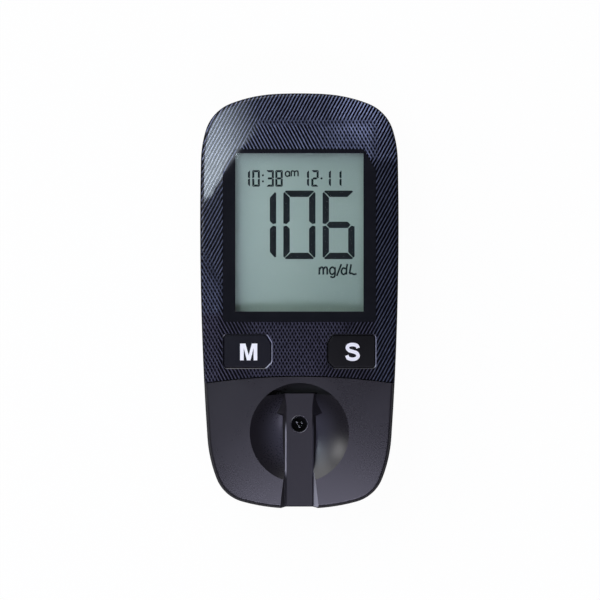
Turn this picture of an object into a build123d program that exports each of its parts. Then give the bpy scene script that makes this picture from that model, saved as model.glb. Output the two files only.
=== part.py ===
from build123d import *
from functools import lru_cache
import math
import os

# Handheld photometric blood glucose meter, lying on its back.
#
# Frame: X across the meter, +Y towards the display end, +Z out of the display.
# Z = 0 is the flat back.  All sizes are millimetres.
#
# The casing is a "pebble": a plan outline of tangent arcs, a doubly curved front
# and rounded edges.  pebble(inset) gives that body with every wall moved inwards
# by the same amount, so shells, lips, linings and clearances all follow it.

# ------------------------------------------------------------ battery and board
CELL_RADIUS = 10.0  # CR2032
CELL_HEIGHT = 3.2
CELL_STEP = 0.4  # can above the edge of the negative cap
CELL_FROM_TOP_END = 30.9
CELL_FLOOR_GAP = 0.55  # between the door and the cell
BAY_ROOF_GAP = 0.4
BAY_ROOF = 1.0
BAY_WALL = 1.2
BAY_CLEARANCE = 0.9
DOOR_SINK = 0.05
DOOR_THICKNESS = 1.4
BOARD_GAP = 0.4  # between the bay roof and the board
BOARD_THICKNESS = 1.2
BOARD_PROUD = 0.2  # board top above the parting plane
BOARD_INSET = 3.6
RIM_HEIGHT = 1.7  # parting plane to the underside of the deck
DECK_THICKNESS = 1.2
DECK_GAP = 0.4  # between the deck and the dish

# ---------------------------------------------------------------- overall body
LENGTH = 97.8
WIDTH = 46.8
WALL = 1.8
WIDEST_Y = 18.0  # the outline is widest this far above the middle
FRONT_ROUND = 1.1  # edge radius round the front
REAR_ROUND = 4.5  # edge radius round the back
LEAST_ROUND = 0.3  # edge radius left where a wall is thicker than the edge is round
CROWN_Y = 12.0  # the front is highest here
CROWN_REACH = 0.65  # half width of the crown's slab, as a share of the width
CROWN_LONG_RADIUS = 412.0  # curvature of the front along Y
CROWN_CROSS_RADIUS = 154.0  # curvature of the front along X
RIM_STEP = 0.3  # front parts stand this far inside the rim of the rear casing
LIP_HEIGHT = 1.2  # lip of the rear casing inside the front casing
LIP_THICKNESS = 0.8
LIP_CLEARANCE = 0.1

# One quarter of the outline, from the widest place on the side to the tip of the
# end: side, haunch, corner, shoulder and end arcs, each tangent to the next.  The
# angles are what each arc turns through, the side arc takes what they leave of 90
# degrees, and the radii of the side and end arcs follow from WIDTH and LENGTH.
TOP_TURNS = dict(haunch=15.5, corner=52.0, shoulder=18.0, end=3.2)
TOP_RADII = dict(haunch=26.7, corner=9.95, shoulder=33.8)
BOTTOM_TURNS = dict(haunch=17.5, corner=53.0, shoulder=9.6, end=6.0)
BOTTOM_RADII = dict(haunch=32.3, corner=9.1, shoulder=43.5)

# A shallow scallop across the strip end.
NOTCH_WIDTH = 6.4
NOTCH_RAMP = 1.2
NOTCH_DEPTH = 0.35
TIP_REACH = 0.158  # tip of the outline beyond the ends of the scallop

# ------------------------------------------------------------- measuring cover
DISH_FROM_END = 17.9
DISH_RADIUS = 11.7
DISH_WALL = 1.0
BOWL_RADIUS = 18.9  # spherical floor of the dish
BOWL_SHIFT = -1.5  # lowest point of the bowl, towards the strip end
BOWL_DEPTH = 6.8  # lowest point below the crest of the front
TOE_RADIUS = 60.0  # inner edge of the deep crescent at the end of the ridge
TOE_DEPTH = 4.9  # floor of the crescent below the crest of the front
SEAM_FROM_DISH = 13.4  # apex of the curved seam between front casing and cover
SEAM_RADIUS = 151.0
SEAM_CUT = 4.0  # height of the seam's cutter, in thicknesses
SEAM_GAP = 0.25
COVER_WALL = 1.6
COVER_CLEARANCE = 0.25
COVER_LIFT_GAP = 0.2  # between the cover's skirt and the rear casing
RIDGE_WIDTH = 6.6
RIDGE_END_WIDTH = 7.3
RIDGE_NECK = 3.0  # length over which the end narrows to the width of the ridge
RIDGE_EDGE = 0.28  # chamfer along both upper edges
RIDGE_END_FOOT = 0.4  # flank's spread at its foot, at the end
RIDGE_FOOT = 0.7  # and along most of the ridge
RIDGE_SHOULDER = 4.8  # length of the facets that widen from the end
RIDGE_SHOULDER_FOOT = 3.5
RIDGE_SHOULDER_TURN = 0.8  # length over which they fold back
RIDGE_FLANK_DEPTH = 3.0
RIDGE_END_SETBACK = 2.5  # end of the ridge inside the edge of the dish
RIDGE_DROP = 2.55  # end of the ridge below the crest of the front
RIDGE_SLOPE_DEG = 6.7
RIDGE_WALL = 1.1
RIDGE_HEIGHT = 6.0
RIDGE_SOLID_END = 3.0
EYE_SHIFT = 2.0  # round hole over the measuring window, from the dish centre
EYE_RADIUS = 1.75
EYE_CHAMFER = 0.3
CHANNEL_LENGTH = 8.6
CHANNEL_START_WIDTH = 7.0
CHANNEL_END_WIDTH = 9.4
CHANNEL_RISE = 1.4  # height above the ridge at which the channel has these widths
CHANNEL_TOP = 5.0  # height above the ridge that is clear of the cover
CHANNEL_GROOVE = 0.35  # depth of the groove each side of the ridge
CHANNEL_GAP = 0.1  # between the edge of the ridge and the foot of the channel wall
TONGUE_FROM_SIDE = 11.4
TONGUE_WIDTH = 5.0
TONGUE_REACH = 1.5
TONGUE_THICKNESS = 1.0
TONGUE_DROP = 2.5  # top of the tongue below the seam
TONGUE_ROOT = 2.5
TONGUE_CLEARANCE = 0.6
STEP_WALL = 1.0
RIM_WALL = 1.2

# ------------------------------------------------------------------- keys
KEY_FROM_SEAM = 1.85
KEY_FROM_SIDE = 5.6
KEY_WIDTH = 11.2
KEY_HEIGHT = 7.75
KEY_CUT_TOP = (1.2, 2.0)  # inner upper corner, across and down
KEY_CUT_BOTTOM = (1.5, 1.5)  # inner lower corner
KEY_CORNER = 0.9
KEY_GAP = 0.25
KEY_RECESS = 0.35
KEY_TRAVEL = 0.5
KEY_FLANGE = 0.6
KEY_FLANGE_THICKNESS = 0.9
KEY_FLANGE_CLEARANCE = 0.15
KEY_EDGE = 0.25
KEY_STEM_RADIUS = 1.6
SWITCH_SIZE = 4.6
SWITCH_HEIGHT = 0.6
DOME_RADIUS = 1.5
DOME_HEIGHT = 0.75

# ------------------------------------------------------------------ display
BORDER_FROM_KEYS = 3.2
VIEW_WIDTH = 30.1  # clear opening in the black border
VIEW_FROM_TOP_END = 14.3
BORDER_SIDE = 2.75
BORDER_BOTTOM = 2.25
BORDER_TOP = 0.8
CUT_CORNER = (2.9, 5.0)  # upper corners of the lens, across and down
LENS_OVERLAP = 0.2  # lens beyond the printed border
LENS_CORNER = 0.6
LENS_THICKNESS = 1.2
LENS_GAP = 0.06
BORDER_THICKNESS = 0.15
LEDGE_THICKNESS = 0.8
LEDGE_HIDDEN = 0.5  # ledge edge set back behind the printed border
LCD_MARGIN_SIDE = 2.15
LCD_MARGIN_END = 2.0
LCD_THICKNESS = 1.7
FILM_THICKNESS = 0.2
FILM_INSET = 0.3
REAR_FILM_GROW = 0.1  # rear film beyond the visible part
LCD_SET_BACK = 4.0  # LCD front below the crest of the front
HOLDER_WALL = 1.3
HOLDER_GAP = 0.1
HOLDER_LEDGE = 1.2
ZEBRA_DEPTH = 1.6
ZEBRA_INSET = 1.5
ZEBRA_LENGTH = 27.0
ZEBRA_GAP = 0.1

# ------------------------------------------------------------ board and parts
BOSS_RADIUS = 2.4
REAR_BOSS_RADIUS = 3.2
BOSS_FROM_SIDE = 8.9
UPPER_BOSS_FROM_END = 7.9
LOWER_BOSS_FROM_END = 10.4
LOWER_BOSS_RISE = 1.7  # boss above the deck
PILOT_RADIUS = 0.9
PILOT_DEPTH = 3.9
SCREW_HOLE_RADIUS = 1.2
SCREW_SHANK_RADIUS = 0.9
SCREW_LENGTH = 9.2
SCREW_HEAD_RADIUS = 1.9
SCREW_HEAD_HEIGHT = 1.3
SCREW_HEAD_SINK = 2.2
HEAD_CLEARANCE = 0.2
DRIVE_RADIUS = 0.8
DRIVE_DEPTH = 0.8
PILLAR_FROM_SIDE = 6.4
PILLAR_RADIUS = 1.5
USB_WIDTH = 7.6
USB_HEIGHT = 2.7
USB_DEPTH = 5.4
USB_SHELL = 0.35
USB_SETBACK = 0.5
USB_CLEARANCE = 0.25
USB_BLADE = (3.6, 0.6)
USB_BACK = 1.2
TURRET_RADIUS = 1.75
TURRET_BASE = 8.0
TURRET_CLEARANCE = 0.3
SEAL_THICKNESS = 0.3
SEAL_WIDTH = 1.2
WINDOW_THICKNESS = 0.6
WINDOW_GAP = 0.75
BORE_RADIUS = 0.9
CHAMBER_SIZE = 4.4
CHAMBER_HEIGHT = 0.9
EMITTER_SIZE = 1.2
EMITTER_LENGTH = 0.84
EMITTER_HEIGHT = 0.6
EMITTER_PITCH = 1.9
BUZZER_RADIUS = 5.0
BUZZER_HEIGHT = 2.4

# ------------------------------------------------------------ door and contacts
DOOR_OVERLAP = 1.2
DOOR_EXTRA_TOP = 1.9
DOOR_GAP = 0.15
DOOR_CORNER = 1.5
DOOR_LEDGE = 1.2
DOOR_SEAT_GAP = 0.05
TAB_X = 6.0
TAB_WIDTH = 4.0
TAB_REACH = 1.4
TAB_ROOT = 0.9
TAB_THICKNESS = 0.9
TAB_CLEARANCE = 0.3
TAB_POCKET_RADIUS = 3.7
LATCH_WIDTH = 8.0
LATCH_LENGTH = 6.0
LATCH_SLOT = 0.5
THUMB_WIDTH = 6.0
THUMB_DEPTH = 0.6
THUMB_LENGTH = 2.6
THUMB_SETBACK = 1.4
CONTACT_THICKNESS = 0.2
CONTACT_WIDTH = 4.0
CONTACT_LENGTH = 9.0

# --------------------------------------------------------------------- label
LABEL_WIDTH = 27.0
LABEL_LENGTH = 19.0
LABEL_THICKNESS = 0.1
LABEL_SINK = 0.15
LABEL_CORNER = 1.5

BREAKOUT = 1.0  # how far a cutting solid runs past what it cuts

# ------------------------------------------------------- heights, back to front
CELL_BOTTOM = DOOR_SINK + DOOR_THICKNESS + CELL_FLOOR_GAP
BAY_CEILING = CELL_BOTTOM + CELL_HEIGHT + BAY_ROOF_GAP
BAY_TOP = BAY_CEILING + BAY_ROOF
BOARD_BOTTOM = BAY_TOP + BOARD_GAP
BOARD_TOP = BOARD_BOTTOM + BOARD_THICKNESS
SPLIT_Z = BOARD_TOP - BOARD_PROUD
DECK_BOTTOM = SPLIT_Z + RIM_HEIGHT
DECK_TOP = DECK_BOTTOM + DECK_THICKNESS
BOWL_Z = DECK_TOP + DECK_GAP + DISH_WALL
THICKNESS = BOWL_Z + BOWL_DEPTH
LCD_TOP = THICKNESS - LCD_SET_BACK
GLASS_TOP = LCD_TOP - FILM_THICKNESS
GLASS_BOTTOM = GLASS_TOP - LCD_THICKNESS
LCD_BOTTOM = GLASS_BOTTOM - FILM_THICKNESS
RIDGE_END_Z = THICKNESS - RIDGE_DROP
DOOR_TOP = DOOR_SINK + DOOR_THICKNESS

# ------------------------------------------------------ places along the meter
DISH_Y = -LENGTH / 2 + DISH_FROM_END
SEAM_Y = DISH_Y + SEAM_FROM_DISH
KEY_BOTTOM_Y = SEAM_Y + KEY_FROM_SEAM
KEY_TOP_Y = KEY_BOTTOM_Y + KEY_HEIGHT
KEY_OUTER_X = WIDTH / 2 - KEY_FROM_SIDE
KEY_INNER_X = KEY_OUTER_X - KEY_WIDTH
KEY_X = KEY_INNER_X + KEY_WIDTH / 2
KEY_Y = KEY_BOTTOM_Y + KEY_HEIGHT / 2
TONGUE_X = WIDTH / 2 - TONGUE_FROM_SIDE
BORDER_LOW_Y = KEY_TOP_Y + BORDER_FROM_KEYS
VIEW_LOW_Y = BORDER_LOW_Y + BORDER_BOTTOM
VIEW_TOP_Y = LENGTH / 2 - VIEW_FROM_TOP_END
BOWL_Y = DISH_Y + BOWL_SHIFT
EYE_Y = DISH_Y + EYE_SHIFT
RIDGE_END_Y = DISH_Y + DISH_RADIUS - RIDGE_END_SETBACK
CELL_Y = LENGTH / 2 - CELL_FROM_TOP_END
BAY_RADIUS = CELL_RADIUS + BAY_CLEARANCE
UPPER_BOSS = (WIDTH / 2 - BOSS_FROM_SIDE, LENGTH / 2 - UPPER_BOSS_FROM_END)
LOWER_BOSS = (WIDTH / 2 - BOSS_FROM_SIDE, -LENGTH / 2 + LOWER_BOSS_FROM_END)
DOOR_HALF = BAY_RADIUS + DOOR_OVERLAP
DOOR_LOW_Y = CELL_Y - DOOR_HALF
DOOR_TOP_Y = CELL_Y + DOOR_HALF + DOOR_EXTRA_TOP
LABEL_Y = (DOOR_LOW_Y - LENGTH / 2) / 2  # halfway between the door and the strip end

# The notch cuts into the tip of the strip end, so the outline reaches further than
# the finished part there.
NOTCH_HALF = NOTCH_WIDTH / 2 + NOTCH_RAMP
STRIP_END_Y = -LENGTH / 2
TIP_Y = STRIP_END_Y - TIP_REACH


# ------------------------------------------------------------- outline and body
def normal(degrees):
    """Unit vector at this angle from the X axis."""
    turn = math.radians(degrees)
    return (math.cos(turn), math.sin(turn))


def quadrant(turns, radii, reach):
    """Arcs (centre, radius, from angle, to angle) of a right-hand quarter, side to end."""
    names = ["side", "haunch", "corner", "shoulder", "end"]
    turns = dict(turns, side=90.0 - sum(turns.values()))
    stops = {}
    angle = 0.0
    for name in names:
        stops[name] = (angle, angle + turns[name])
        angle += turns[name]

    def span(name):
        (ax, ay), (bx, by) = (normal(stop) for stop in stops[name])
        return (bx - ax, by - ay)

    # what the three middle arcs leave for the side and end arcs to cover
    left_x = -WIDTH / 2 - sum(radii[name] * span(name)[0] for name in radii)
    left_y = reach - sum(radii[name] * span(name)[1] for name in radii)
    (sx, sy), (ex, ey) = span("side"), span("end")
    scale = sx * ey - sy * ex
    radii = dict(radii, side=(left_x * ey - left_y * ex) / scale,
                 end=(sx * left_y - sy * left_x) / scale)
    arcs = []
    x, y = WIDTH / 2, 0.0
    for name in names:
        start, stop = stops[name]
        radius = radii[name]
        centre = (x - radius * normal(start)[0], y - radius * normal(start)[1])
        x, y = centre[0] + radius * normal(stop)[0], centre[1] + radius * normal(stop)[1]
        arcs.append((centre, radius, start, stop))
    centre, radius, start, stop = arcs[-1]
    arcs[-1] = (centre, radius, start, 180.0 - start)  # one end arc for both sides
    return arcs


def outline(inset=0.0):
    """Plan face of the body, moved inwards by inset."""
    top = quadrant(TOP_TURNS, TOP_RADII, LENGTH / 2 - WIDEST_Y)
    bottom = quadrant(BOTTOM_TURNS, BOTTOM_RADII, WIDEST_Y - TIP_Y)
    arcs = []
    for quarter, up in ((top, 1), (bottom, -1)):
        for right in (1, -1):
            used = quarter if right == 1 else quarter[:-1]
            for centre, radius, start, stop in used:
                angles = [start, stop]
                if right == -1:
                    angles = [180.0 - angle for angle in angles]
                if up == -1:
                    angles = [-angle for angle in angles]
                spot = (right * centre[0], WIDEST_Y + up * centre[1])
                arcs.append(CenterArc(spot, radius - inset, min(angles), stop - start))
    return Face(Wire(arcs))


def crown(inset=0.0):
    """Everything under the curved front, lowered by inset."""
    half = WIDTH * CROWN_REACH
    low = -REAR_ROUND
    cross_z = THICKNESS - CROWN_CROSS_RADIUS
    radius = CROWN_CROSS_RADIUS - inset
    edge_z = cross_z + math.sqrt(radius**2 - half**2)
    section = Wire([
        Edge.make_line((-half, 0, low), (half, 0, low)),
        Edge.make_line((half, 0, low), (half, 0, edge_z)),
        Edge.make_three_point_arc((half, 0, edge_z), (0, 0, cross_z + radius),
                                  (-half, 0, edge_z)),
        Edge.make_line((-half, 0, edge_z), (-half, 0, low)),
    ])
    axis = Axis((0, 0, THICKNESS - CROWN_LONG_RADIUS), (1, 0, 0))
    half_turn = math.degrees(math.asin(LENGTH / CROWN_LONG_RADIUS))
    swept = revolve(Face(section), axis, revolution_arc=2 * half_turn)
    return Pos(0, CROWN_Y, 0) * swept.rotate(axis, -half_turn)


def front_height(x, y):
    """Height of the front at a plan position inside its rounded edge."""
    swing = CROWN_LONG_RADIUS - CROWN_CROSS_RADIUS + math.sqrt(CROWN_CROSS_RADIUS**2 - x**2)
    return THICKNESS - CROWN_LONG_RADIUS + math.sqrt(swing**2 - (y - CROWN_Y) ** 2)


@lru_cache(maxsize=None)
def pebble(inset=0.0, step=0.0):
    """The whole body with all its walls moved inwards by inset, and its sides by step more."""
    side = inset + step
    slab = Pos(0, 0, inset) * extrude(outline(side), THICKNESS)
    body = slab & crown(inset)
    front = body.faces().sort_by(Axis.Z)[-1]
    body = fillet(front.outer_wire().edges(), max(FRONT_ROUND - side, LEAST_ROUND))
    back = body.faces().sort_by(Axis.Z)[0]
    return fillet(back.outer_wire().edges(), max(REAR_ROUND - side, LEAST_ROUND))


# -------------------------------------------------------------- simple solids
def block(x_range, y_range, z_range):
    """A box between the low and high value on each axis."""
    size = [high - low for low, high in (x_range, y_range, z_range)]
    middle = [(high + low) / 2 for low, high in (x_range, y_range, z_range)]
    return Pos(*middle) * Box(*size)


def layer(z_low, z_high):
    """A wide slab between two heights."""
    return block((-WIDTH, WIDTH), (-LENGTH, LENGTH), (z_low, z_high))


def post(x, y, radius, z_low, z_high):
    """An upright cylinder."""
    return Pos(x, y, (z_low + z_high) / 2) * Cylinder(radius, z_high - z_low)


def ring(x, y, outer, inner, z_low, z_high):
    """An upright tube."""
    return post(x, y, outer, z_low, z_high) - post(x, y, inner, z_low, z_high)


def prism(points, z_low, z_high, corner=0.0):
    """An upright prism on a plan polygon, with rounded corners."""
    plan = Face(Wire.make_polygon([(x, y, z_low) for x, y in points]))
    if corner:
        plan = fillet(plan.vertices(), corner)
    return extrude(plan, z_high - z_low, dir=(0, 0, 1))


def plate(x_half, y_low, y_high, z_low, z_high, corner=0.0):
    """A flat plate centred on X = 0, with rounded corners."""
    points = [(-x_half, y_low), (x_half, y_low), (x_half, y_high), (-x_half, y_high)]
    return prism(points, z_low, z_high, corner)


def below_seam(offset=0.0):
    """Everything on the strip side of the curved seam, moved towards +Y by offset."""
    return Pos(0, SEAM_Y - SEAM_RADIUS, THICKNESS / 2) * Cylinder(
        SEAM_RADIUS + offset, SEAM_CUT * THICKNESS)


def seam_y(x):
    """Where the curved seam is at this distance from the middle."""
    return SEAM_Y - SEAM_RADIUS + math.sqrt(SEAM_RADIUS**2 - x**2)


def both_sides(maker):
    """Two mirror-image solids, made by a function of the side."""
    return [maker(side) for side in (1, -1)]


def cut_both_halves(solid, cutter):
    """A symmetric solid whose right half is cut and then mirrored onto the left."""
    right = solid & block((0, WIDTH), (-LENGTH, LENGTH), (0, THICKNESS + BREAKOUT))
    right -= cutter
    return right + mirror(right, Plane.YZ)


def all_bosses():
    """Plan positions of the four screws."""
    return [(side * x, y) for x, y in (UPPER_BOSS, LOWER_BOSS) for side in (1, -1)]


# ------------------------------------------------------------- shared outlines
def lens_plan(grow, z_low, z_high):
    """Prism on the outline of the display lens, grown all round."""
    half = VIEW_WIDTH / 2 + BORDER_SIDE + grow
    low = BORDER_LOW_Y - grow
    top = VIEW_TOP_Y + BORDER_TOP + grow
    across, down = CUT_CORNER
    points = [(-half, low), (half, low), (half, top - down), (half - across, top),
              (across - half, top), (-half, top - down)]
    return prism(points, z_low, z_high, LENS_CORNER)


def view_plan(grow, z_low, z_high):
    """Prism on the visible part of the display, grown all round."""
    return plate(VIEW_WIDTH / 2 + grow, VIEW_LOW_Y - grow, VIEW_TOP_Y + grow, z_low, z_high)


def lcd_plan(grow, z_low, z_high):
    """Prism on the outline of the LCD glass, grown all round."""
    return plate(VIEW_WIDTH / 2 + LCD_MARGIN_SIDE + grow, VIEW_LOW_Y - LCD_MARGIN_END - grow,
                 VIEW_TOP_Y + LCD_MARGIN_END + grow, z_low, z_high)


def key_plan(side, grow, z_low, z_high):
    """Prism on the outline of one key, grown all round.  side is 1 or -1."""
    inner = KEY_INNER_X - grow
    outer = KEY_OUTER_X + grow
    low = KEY_BOTTOM_Y - grow
    top = KEY_TOP_Y + grow
    points = [(inner + KEY_CUT_TOP[0], top), (outer, top), (outer, low),
              (inner + KEY_CUT_BOTTOM[0], low), (inner, low + KEY_CUT_BOTTOM[1]),
              (inner, top - KEY_CUT_TOP[1])]
    corners = [(side * x, y) for x, y in points[::-side]]  # always anticlockwise
    return prism(corners, z_low, z_high, KEY_CORNER + grow / 2)


def door_plan(grow, z_low, z_high):
    """Prism on the outline of the battery door, grown all round."""
    return plate(DOOR_HALF + grow, DOOR_LOW_Y - grow, DOOR_TOP_Y + grow, z_low, z_high,
                 DOOR_CORNER + grow)


def label_plan(grow, z_low, z_high):
    """Prism on the outline of the rear label, grown all round."""
    half = LABEL_LENGTH / 2 + grow
    return plate(LABEL_WIDTH / 2 + grow, LABEL_Y - half, LABEL_Y + half, z_low, z_high,
                 LABEL_CORNER)


def usb_block(grow, y_low, y_high):
    """Block round the USB socket, grown in X and Z."""
    return block((-USB_WIDTH / 2 - grow, USB_WIDTH / 2 + grow), (y_low, y_high),
                 (BOARD_TOP - grow, BOARD_TOP + USB_HEIGHT + grow))


def end_notch(step=0.0):
    """The shallow scallop across the strip end, moved inwards by step."""
    edge = STRIP_END_Y + step
    floor = edge + NOTCH_DEPTH
    flat = NOTCH_WIDTH / 2
    low = TIP_Y - BREAKOUT
    points = [(-NOTCH_HALF, low), (NOTCH_HALF, low), (NOTCH_HALF, edge),
              (flat, floor), (-flat, floor), (-NOTCH_HALF, edge)]
    return prism(points, -BREAKOUT, THICKNESS)


# ------------------------------------------------------------------- casing
def rear_case():
    """Back shell with screw bosses, board pillars, lip and battery bay."""
    below = layer(-BREAKOUT, SPLIT_Z)
    inside = pebble(WALL) & layer(-BREAKOUT, SPLIT_Z + LIP_HEIGHT)
    shell = pebble() & below
    shell -= inside
    lip = pebble(WALL) - pebble(WALL + LIP_THICKNESS)
    lip &= layer(SPLIT_Z - LIP_HEIGHT, SPLIT_Z)
    tip = pebble(WALL + LIP_CLEARANCE) - pebble(WALL + LIP_THICKNESS)
    tip &= layer(SPLIT_Z, SPLIT_Z + LIP_HEIGHT)
    lip = (lip + tip) - below_seam(STEP_WALL + LIP_HEIGHT)
    shell += lip
    solid = pebble() & below
    for x, y in all_bosses():
        shell += post(x, y, REAR_BOSS_RADIUS, 0, BOARD_BOTTOM) & solid
    for x, y in pillars():
        shell += post(x, y, PILLAR_RADIUS, WALL / 2, BOARD_BOTTOM)
    shell += door_plan(DOOR_LEDGE, WALL / 2, DOOR_TOP + DOOR_LEDGE)
    shell += post(0, CELL_Y, BAY_RADIUS + BAY_WALL, WALL / 2, BAY_TOP)
    shell -= door_plan(DOOR_GAP, -BREAKOUT, DOOR_TOP + DOOR_SEAT_GAP)
    shell -= post(0, CELL_Y, BAY_RADIUS, 0, BAY_CEILING)
    for cut in both_sides(tab_pocket) + both_sides(contact_slot):
        shell -= cut
    for x, y in all_bosses():
        shell -= post(x, y, SCREW_HEAD_RADIUS + HEAD_CLEARANCE, -BREAKOUT, SCREW_HEAD_SINK)
        shell -= post(x, y, SCREW_HOLE_RADIUS, 0, BOARD_BOTTOM + BREAKOUT)
    shell -= label_plan(DOOR_GAP, -BREAKOUT, LABEL_SINK)
    shell -= usb_block(USB_CLEARANCE, LENGTH / 2 - USB_DEPTH - USB_SETBACK, LENGTH / 2)
    return shell - end_notch()


def pillars():
    """Plan positions of the pillars under the board."""
    x = WIDTH / 2 - PILLAR_FROM_SIDE
    return [(side * x, y) for y in (DOOR_LOW_Y, SEAM_Y - TURRET_BASE) for side in (1, -1)]


def front_shell():
    """Front shell above the seam, open for the lens and the keys."""
    shell = (pebble(0.0, RIM_STEP) & layer(SPLIT_Z, THICKNESS + BREAKOUT)) - below_seam()
    shell -= pebble(WALL) - below_seam(STEP_WALL)
    shell = cut_both_halves(shell, key_plan(1, KEY_GAP, DECK_TOP, THICKNESS))
    return shell - lens_plan(LENS_OVERLAP, SPLIT_Z, THICKNESS + BREAKOUT)


def display_ledge():
    """Ledge round the display opening that the lens is glued to."""
    top = LENS_THICKNESS + BORDER_THICKNESS
    ledge = lens_plan(LENS_OVERLAP, SPLIT_Z, THICKNESS) & pebble(top)
    ledge -= pebble(top + LEDGE_THICKNESS)
    return ledge - view_plan(LEDGE_HIDDEN, SPLIT_Z, THICKNESS)


def deck():
    """Deck and rim of the front casing under the measuring cover."""
    plate_body = pebble(COVER_WALL + COVER_CLEARANCE) & layer(SPLIT_Z, DECK_TOP)
    return plate_body & below_seam(STEP_WALL)


def front_case():
    """Front shell with display ledge, key cut-outs and the deck under the cover."""
    case = front_shell() + display_ledge() + deck()
    case -= pebble(COVER_WALL + COVER_CLEARANCE + RIM_WALL) & layer(-BREAKOUT, DECK_BOTTOM)
    for side in (1, -1):
        x, y = UPPER_BOSS
        case += post(side * x, y, BOSS_RADIUS, BOARD_TOP, THICKNESS) & pebble(WALL / 2)
        x, y = LOWER_BOSS
        case += post(side * x, y, BOSS_RADIUS, BOARD_TOP, DECK_TOP + LOWER_BOSS_RISE)
    for x, y in all_bosses():
        case -= post(x, y, PILOT_RADIUS, BOARD_TOP - BREAKOUT, BOARD_TOP + PILOT_DEPTH)
    case -= post(0, EYE_Y, TURRET_RADIUS + TURRET_CLEARANCE, DECK_BOTTOM - BREAKOUT,
                 DECK_TOP + BREAKOUT)
    for cut in both_sides(tongue_pocket):
        case -= cut
    case -= usb_block(USB_CLEARANCE, LENGTH / 2 - USB_DEPTH - USB_SETBACK,
                      LENGTH / 2 + BREAKOUT)
    return case - end_notch(RIM_STEP)


# ------------------------------------------------------------------ display
def display_lens():
    """Clear lens, flush with the front."""
    plan = lens_plan(LENS_OVERLAP - LENS_GAP, SPLIT_Z, THICKNESS + BREAKOUT)
    return (plan & pebble()) - pebble(LENS_THICKNESS)


def display_border():
    """Black border printed on the back of the lens."""
    top = THICKNESS + BREAKOUT
    band = lens_plan(LENS_OVERLAP - LENS_GAP, SPLIT_Z, top) - view_plan(0, SPLIT_Z, top)
    return (band & pebble(LENS_THICKNESS)) - pebble(LENS_THICKNESS + BORDER_THICKNESS)


def display_gasket():
    """Foam frame between the ledge and the LCD."""
    band = lcd_plan(-FILM_INSET, LCD_TOP, THICKNESS)
    band -= view_plan(LEDGE_HIDDEN, LCD_TOP, THICKNESS)
    return band & pebble(LENS_THICKNESS + BORDER_THICKNESS + LEDGE_THICKNESS)


def lcd_panel():
    """Glass of the LCD."""
    return lcd_plan(0, GLASS_BOTTOM, GLASS_TOP)


def lcd_front_film():
    """Front polariser."""
    return lcd_plan(-FILM_INSET, GLASS_TOP, LCD_TOP)


def lcd_rear_film():
    """Rear polariser and reflector, clear of the zebra strips."""
    return view_plan(REAR_FILM_GROW, LCD_BOTTOM, GLASS_BOTTOM)


def zebra_strip(end):
    """Elastomer connector from the board to one end of the glass.  end is 1 or -1."""
    outer = (VIEW_TOP_Y if end == 1 else VIEW_LOW_Y) + end * (LCD_MARGIN_END - FILM_INSET)
    inner = outer - end * (LCD_MARGIN_END - 2 * FILM_INSET)
    half = ZEBRA_LENGTH / 2
    return block((-half, half), (min(inner, outer), max(inner, outer)),
                 (BOARD_TOP, GLASS_BOTTOM))


def lcd_holder():
    """Frame that stands on the board and carries the glass."""
    holder = lcd_plan(HOLDER_GAP + HOLDER_WALL, BOARD_TOP, GLASS_TOP - HOLDER_GAP)
    holder -= lcd_plan(HOLDER_GAP, GLASS_BOTTOM, THICKNESS)
    holder -= view_plan(REAR_FILM_GROW + HOLDER_GAP, LCD_BOTTOM, GLASS_BOTTOM)
    holder -= view_plan(-HOLDER_LEDGE, BOARD_TOP, LCD_BOTTOM)
    for end in (1, -1):
        box = zebra_strip(end).bounding_box()
        low, high = box.min, box.max
        holder -= block((low.X - ZEBRA_GAP, high.X + ZEBRA_GAP),
                        (low.Y - ZEBRA_GAP, high.Y + ZEBRA_GAP), (BOARD_TOP, GLASS_BOTTOM))
    return holder


# ---------------------------------------------------------------------- keys
def key_cap(side):
    """One key: cap, retaining flange and stem.  side is 1 or -1."""
    low = THICKNESS / 2
    cap = key_plan(side, 0, low, THICKNESS) & pebble(KEY_RECESS)
    top = cap.faces().sort_by(Axis.Z)[-1]
    cap = fillet(top.outer_wire().edges(), KEY_EDGE)
    flange_top = WALL + KEY_FLANGE_CLEARANCE
    flange = key_plan(side, KEY_FLANGE, low, THICKNESS) & pebble(flange_top)
    under = pebble(flange_top + KEY_FLANGE_THICKNESS)
    stem = post(side * KEY_X, KEY_Y, KEY_STEM_RADIUS, dome_top(), THICKNESS / 2 + KEY_EDGE)
    stem += post(side * KEY_X, KEY_Y, KEY_STEM_RADIUS, THICKNESS / 2, THICKNESS) & pebble(flange_top)
    return (cap + flange) - under + stem


def dome_top():
    """Height of the top of a switch dome."""
    return BOARD_TOP + SWITCH_HEIGHT + DOME_HEIGHT


def key_switches():
    """Bases of the two dome switches."""
    half = SWITCH_SIZE / 2
    bases = both_sides(lambda side: block(
        (side * KEY_X - half, side * KEY_X + half), (KEY_Y - half, KEY_Y + half),
        (BOARD_TOP, BOARD_TOP + SWITCH_HEIGHT)))
    return Compound(bases)


def switch_dome(side):
    """Sprung dome under one key: a cap of a sphere."""
    sphere_radius = (DOME_RADIUS**2 + DOME_HEIGHT**2) / (2 * DOME_HEIGHT)
    ball = Pos(side * KEY_X, KEY_Y, dome_top() - sphere_radius) * Sphere(sphere_radius)
    return ball & layer(BOARD_TOP + SWITCH_HEIGHT, THICKNESS)


# ------------------------------------------------------------- measuring cover
def bowl(grow):
    """Ball whose underside is the floor of the dish, grown all round."""
    return Pos(0, BOWL_Y, BOWL_Z + BOWL_RADIUS) * Sphere(BOWL_RADIUS + grow)


def dish_cylinder(grow):
    """Upright cylinder of the dish, grown all round."""
    return post(0, DISH_Y, DISH_RADIUS + grow, SPLIT_Z, THICKNESS + BREAKOUT)


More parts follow.
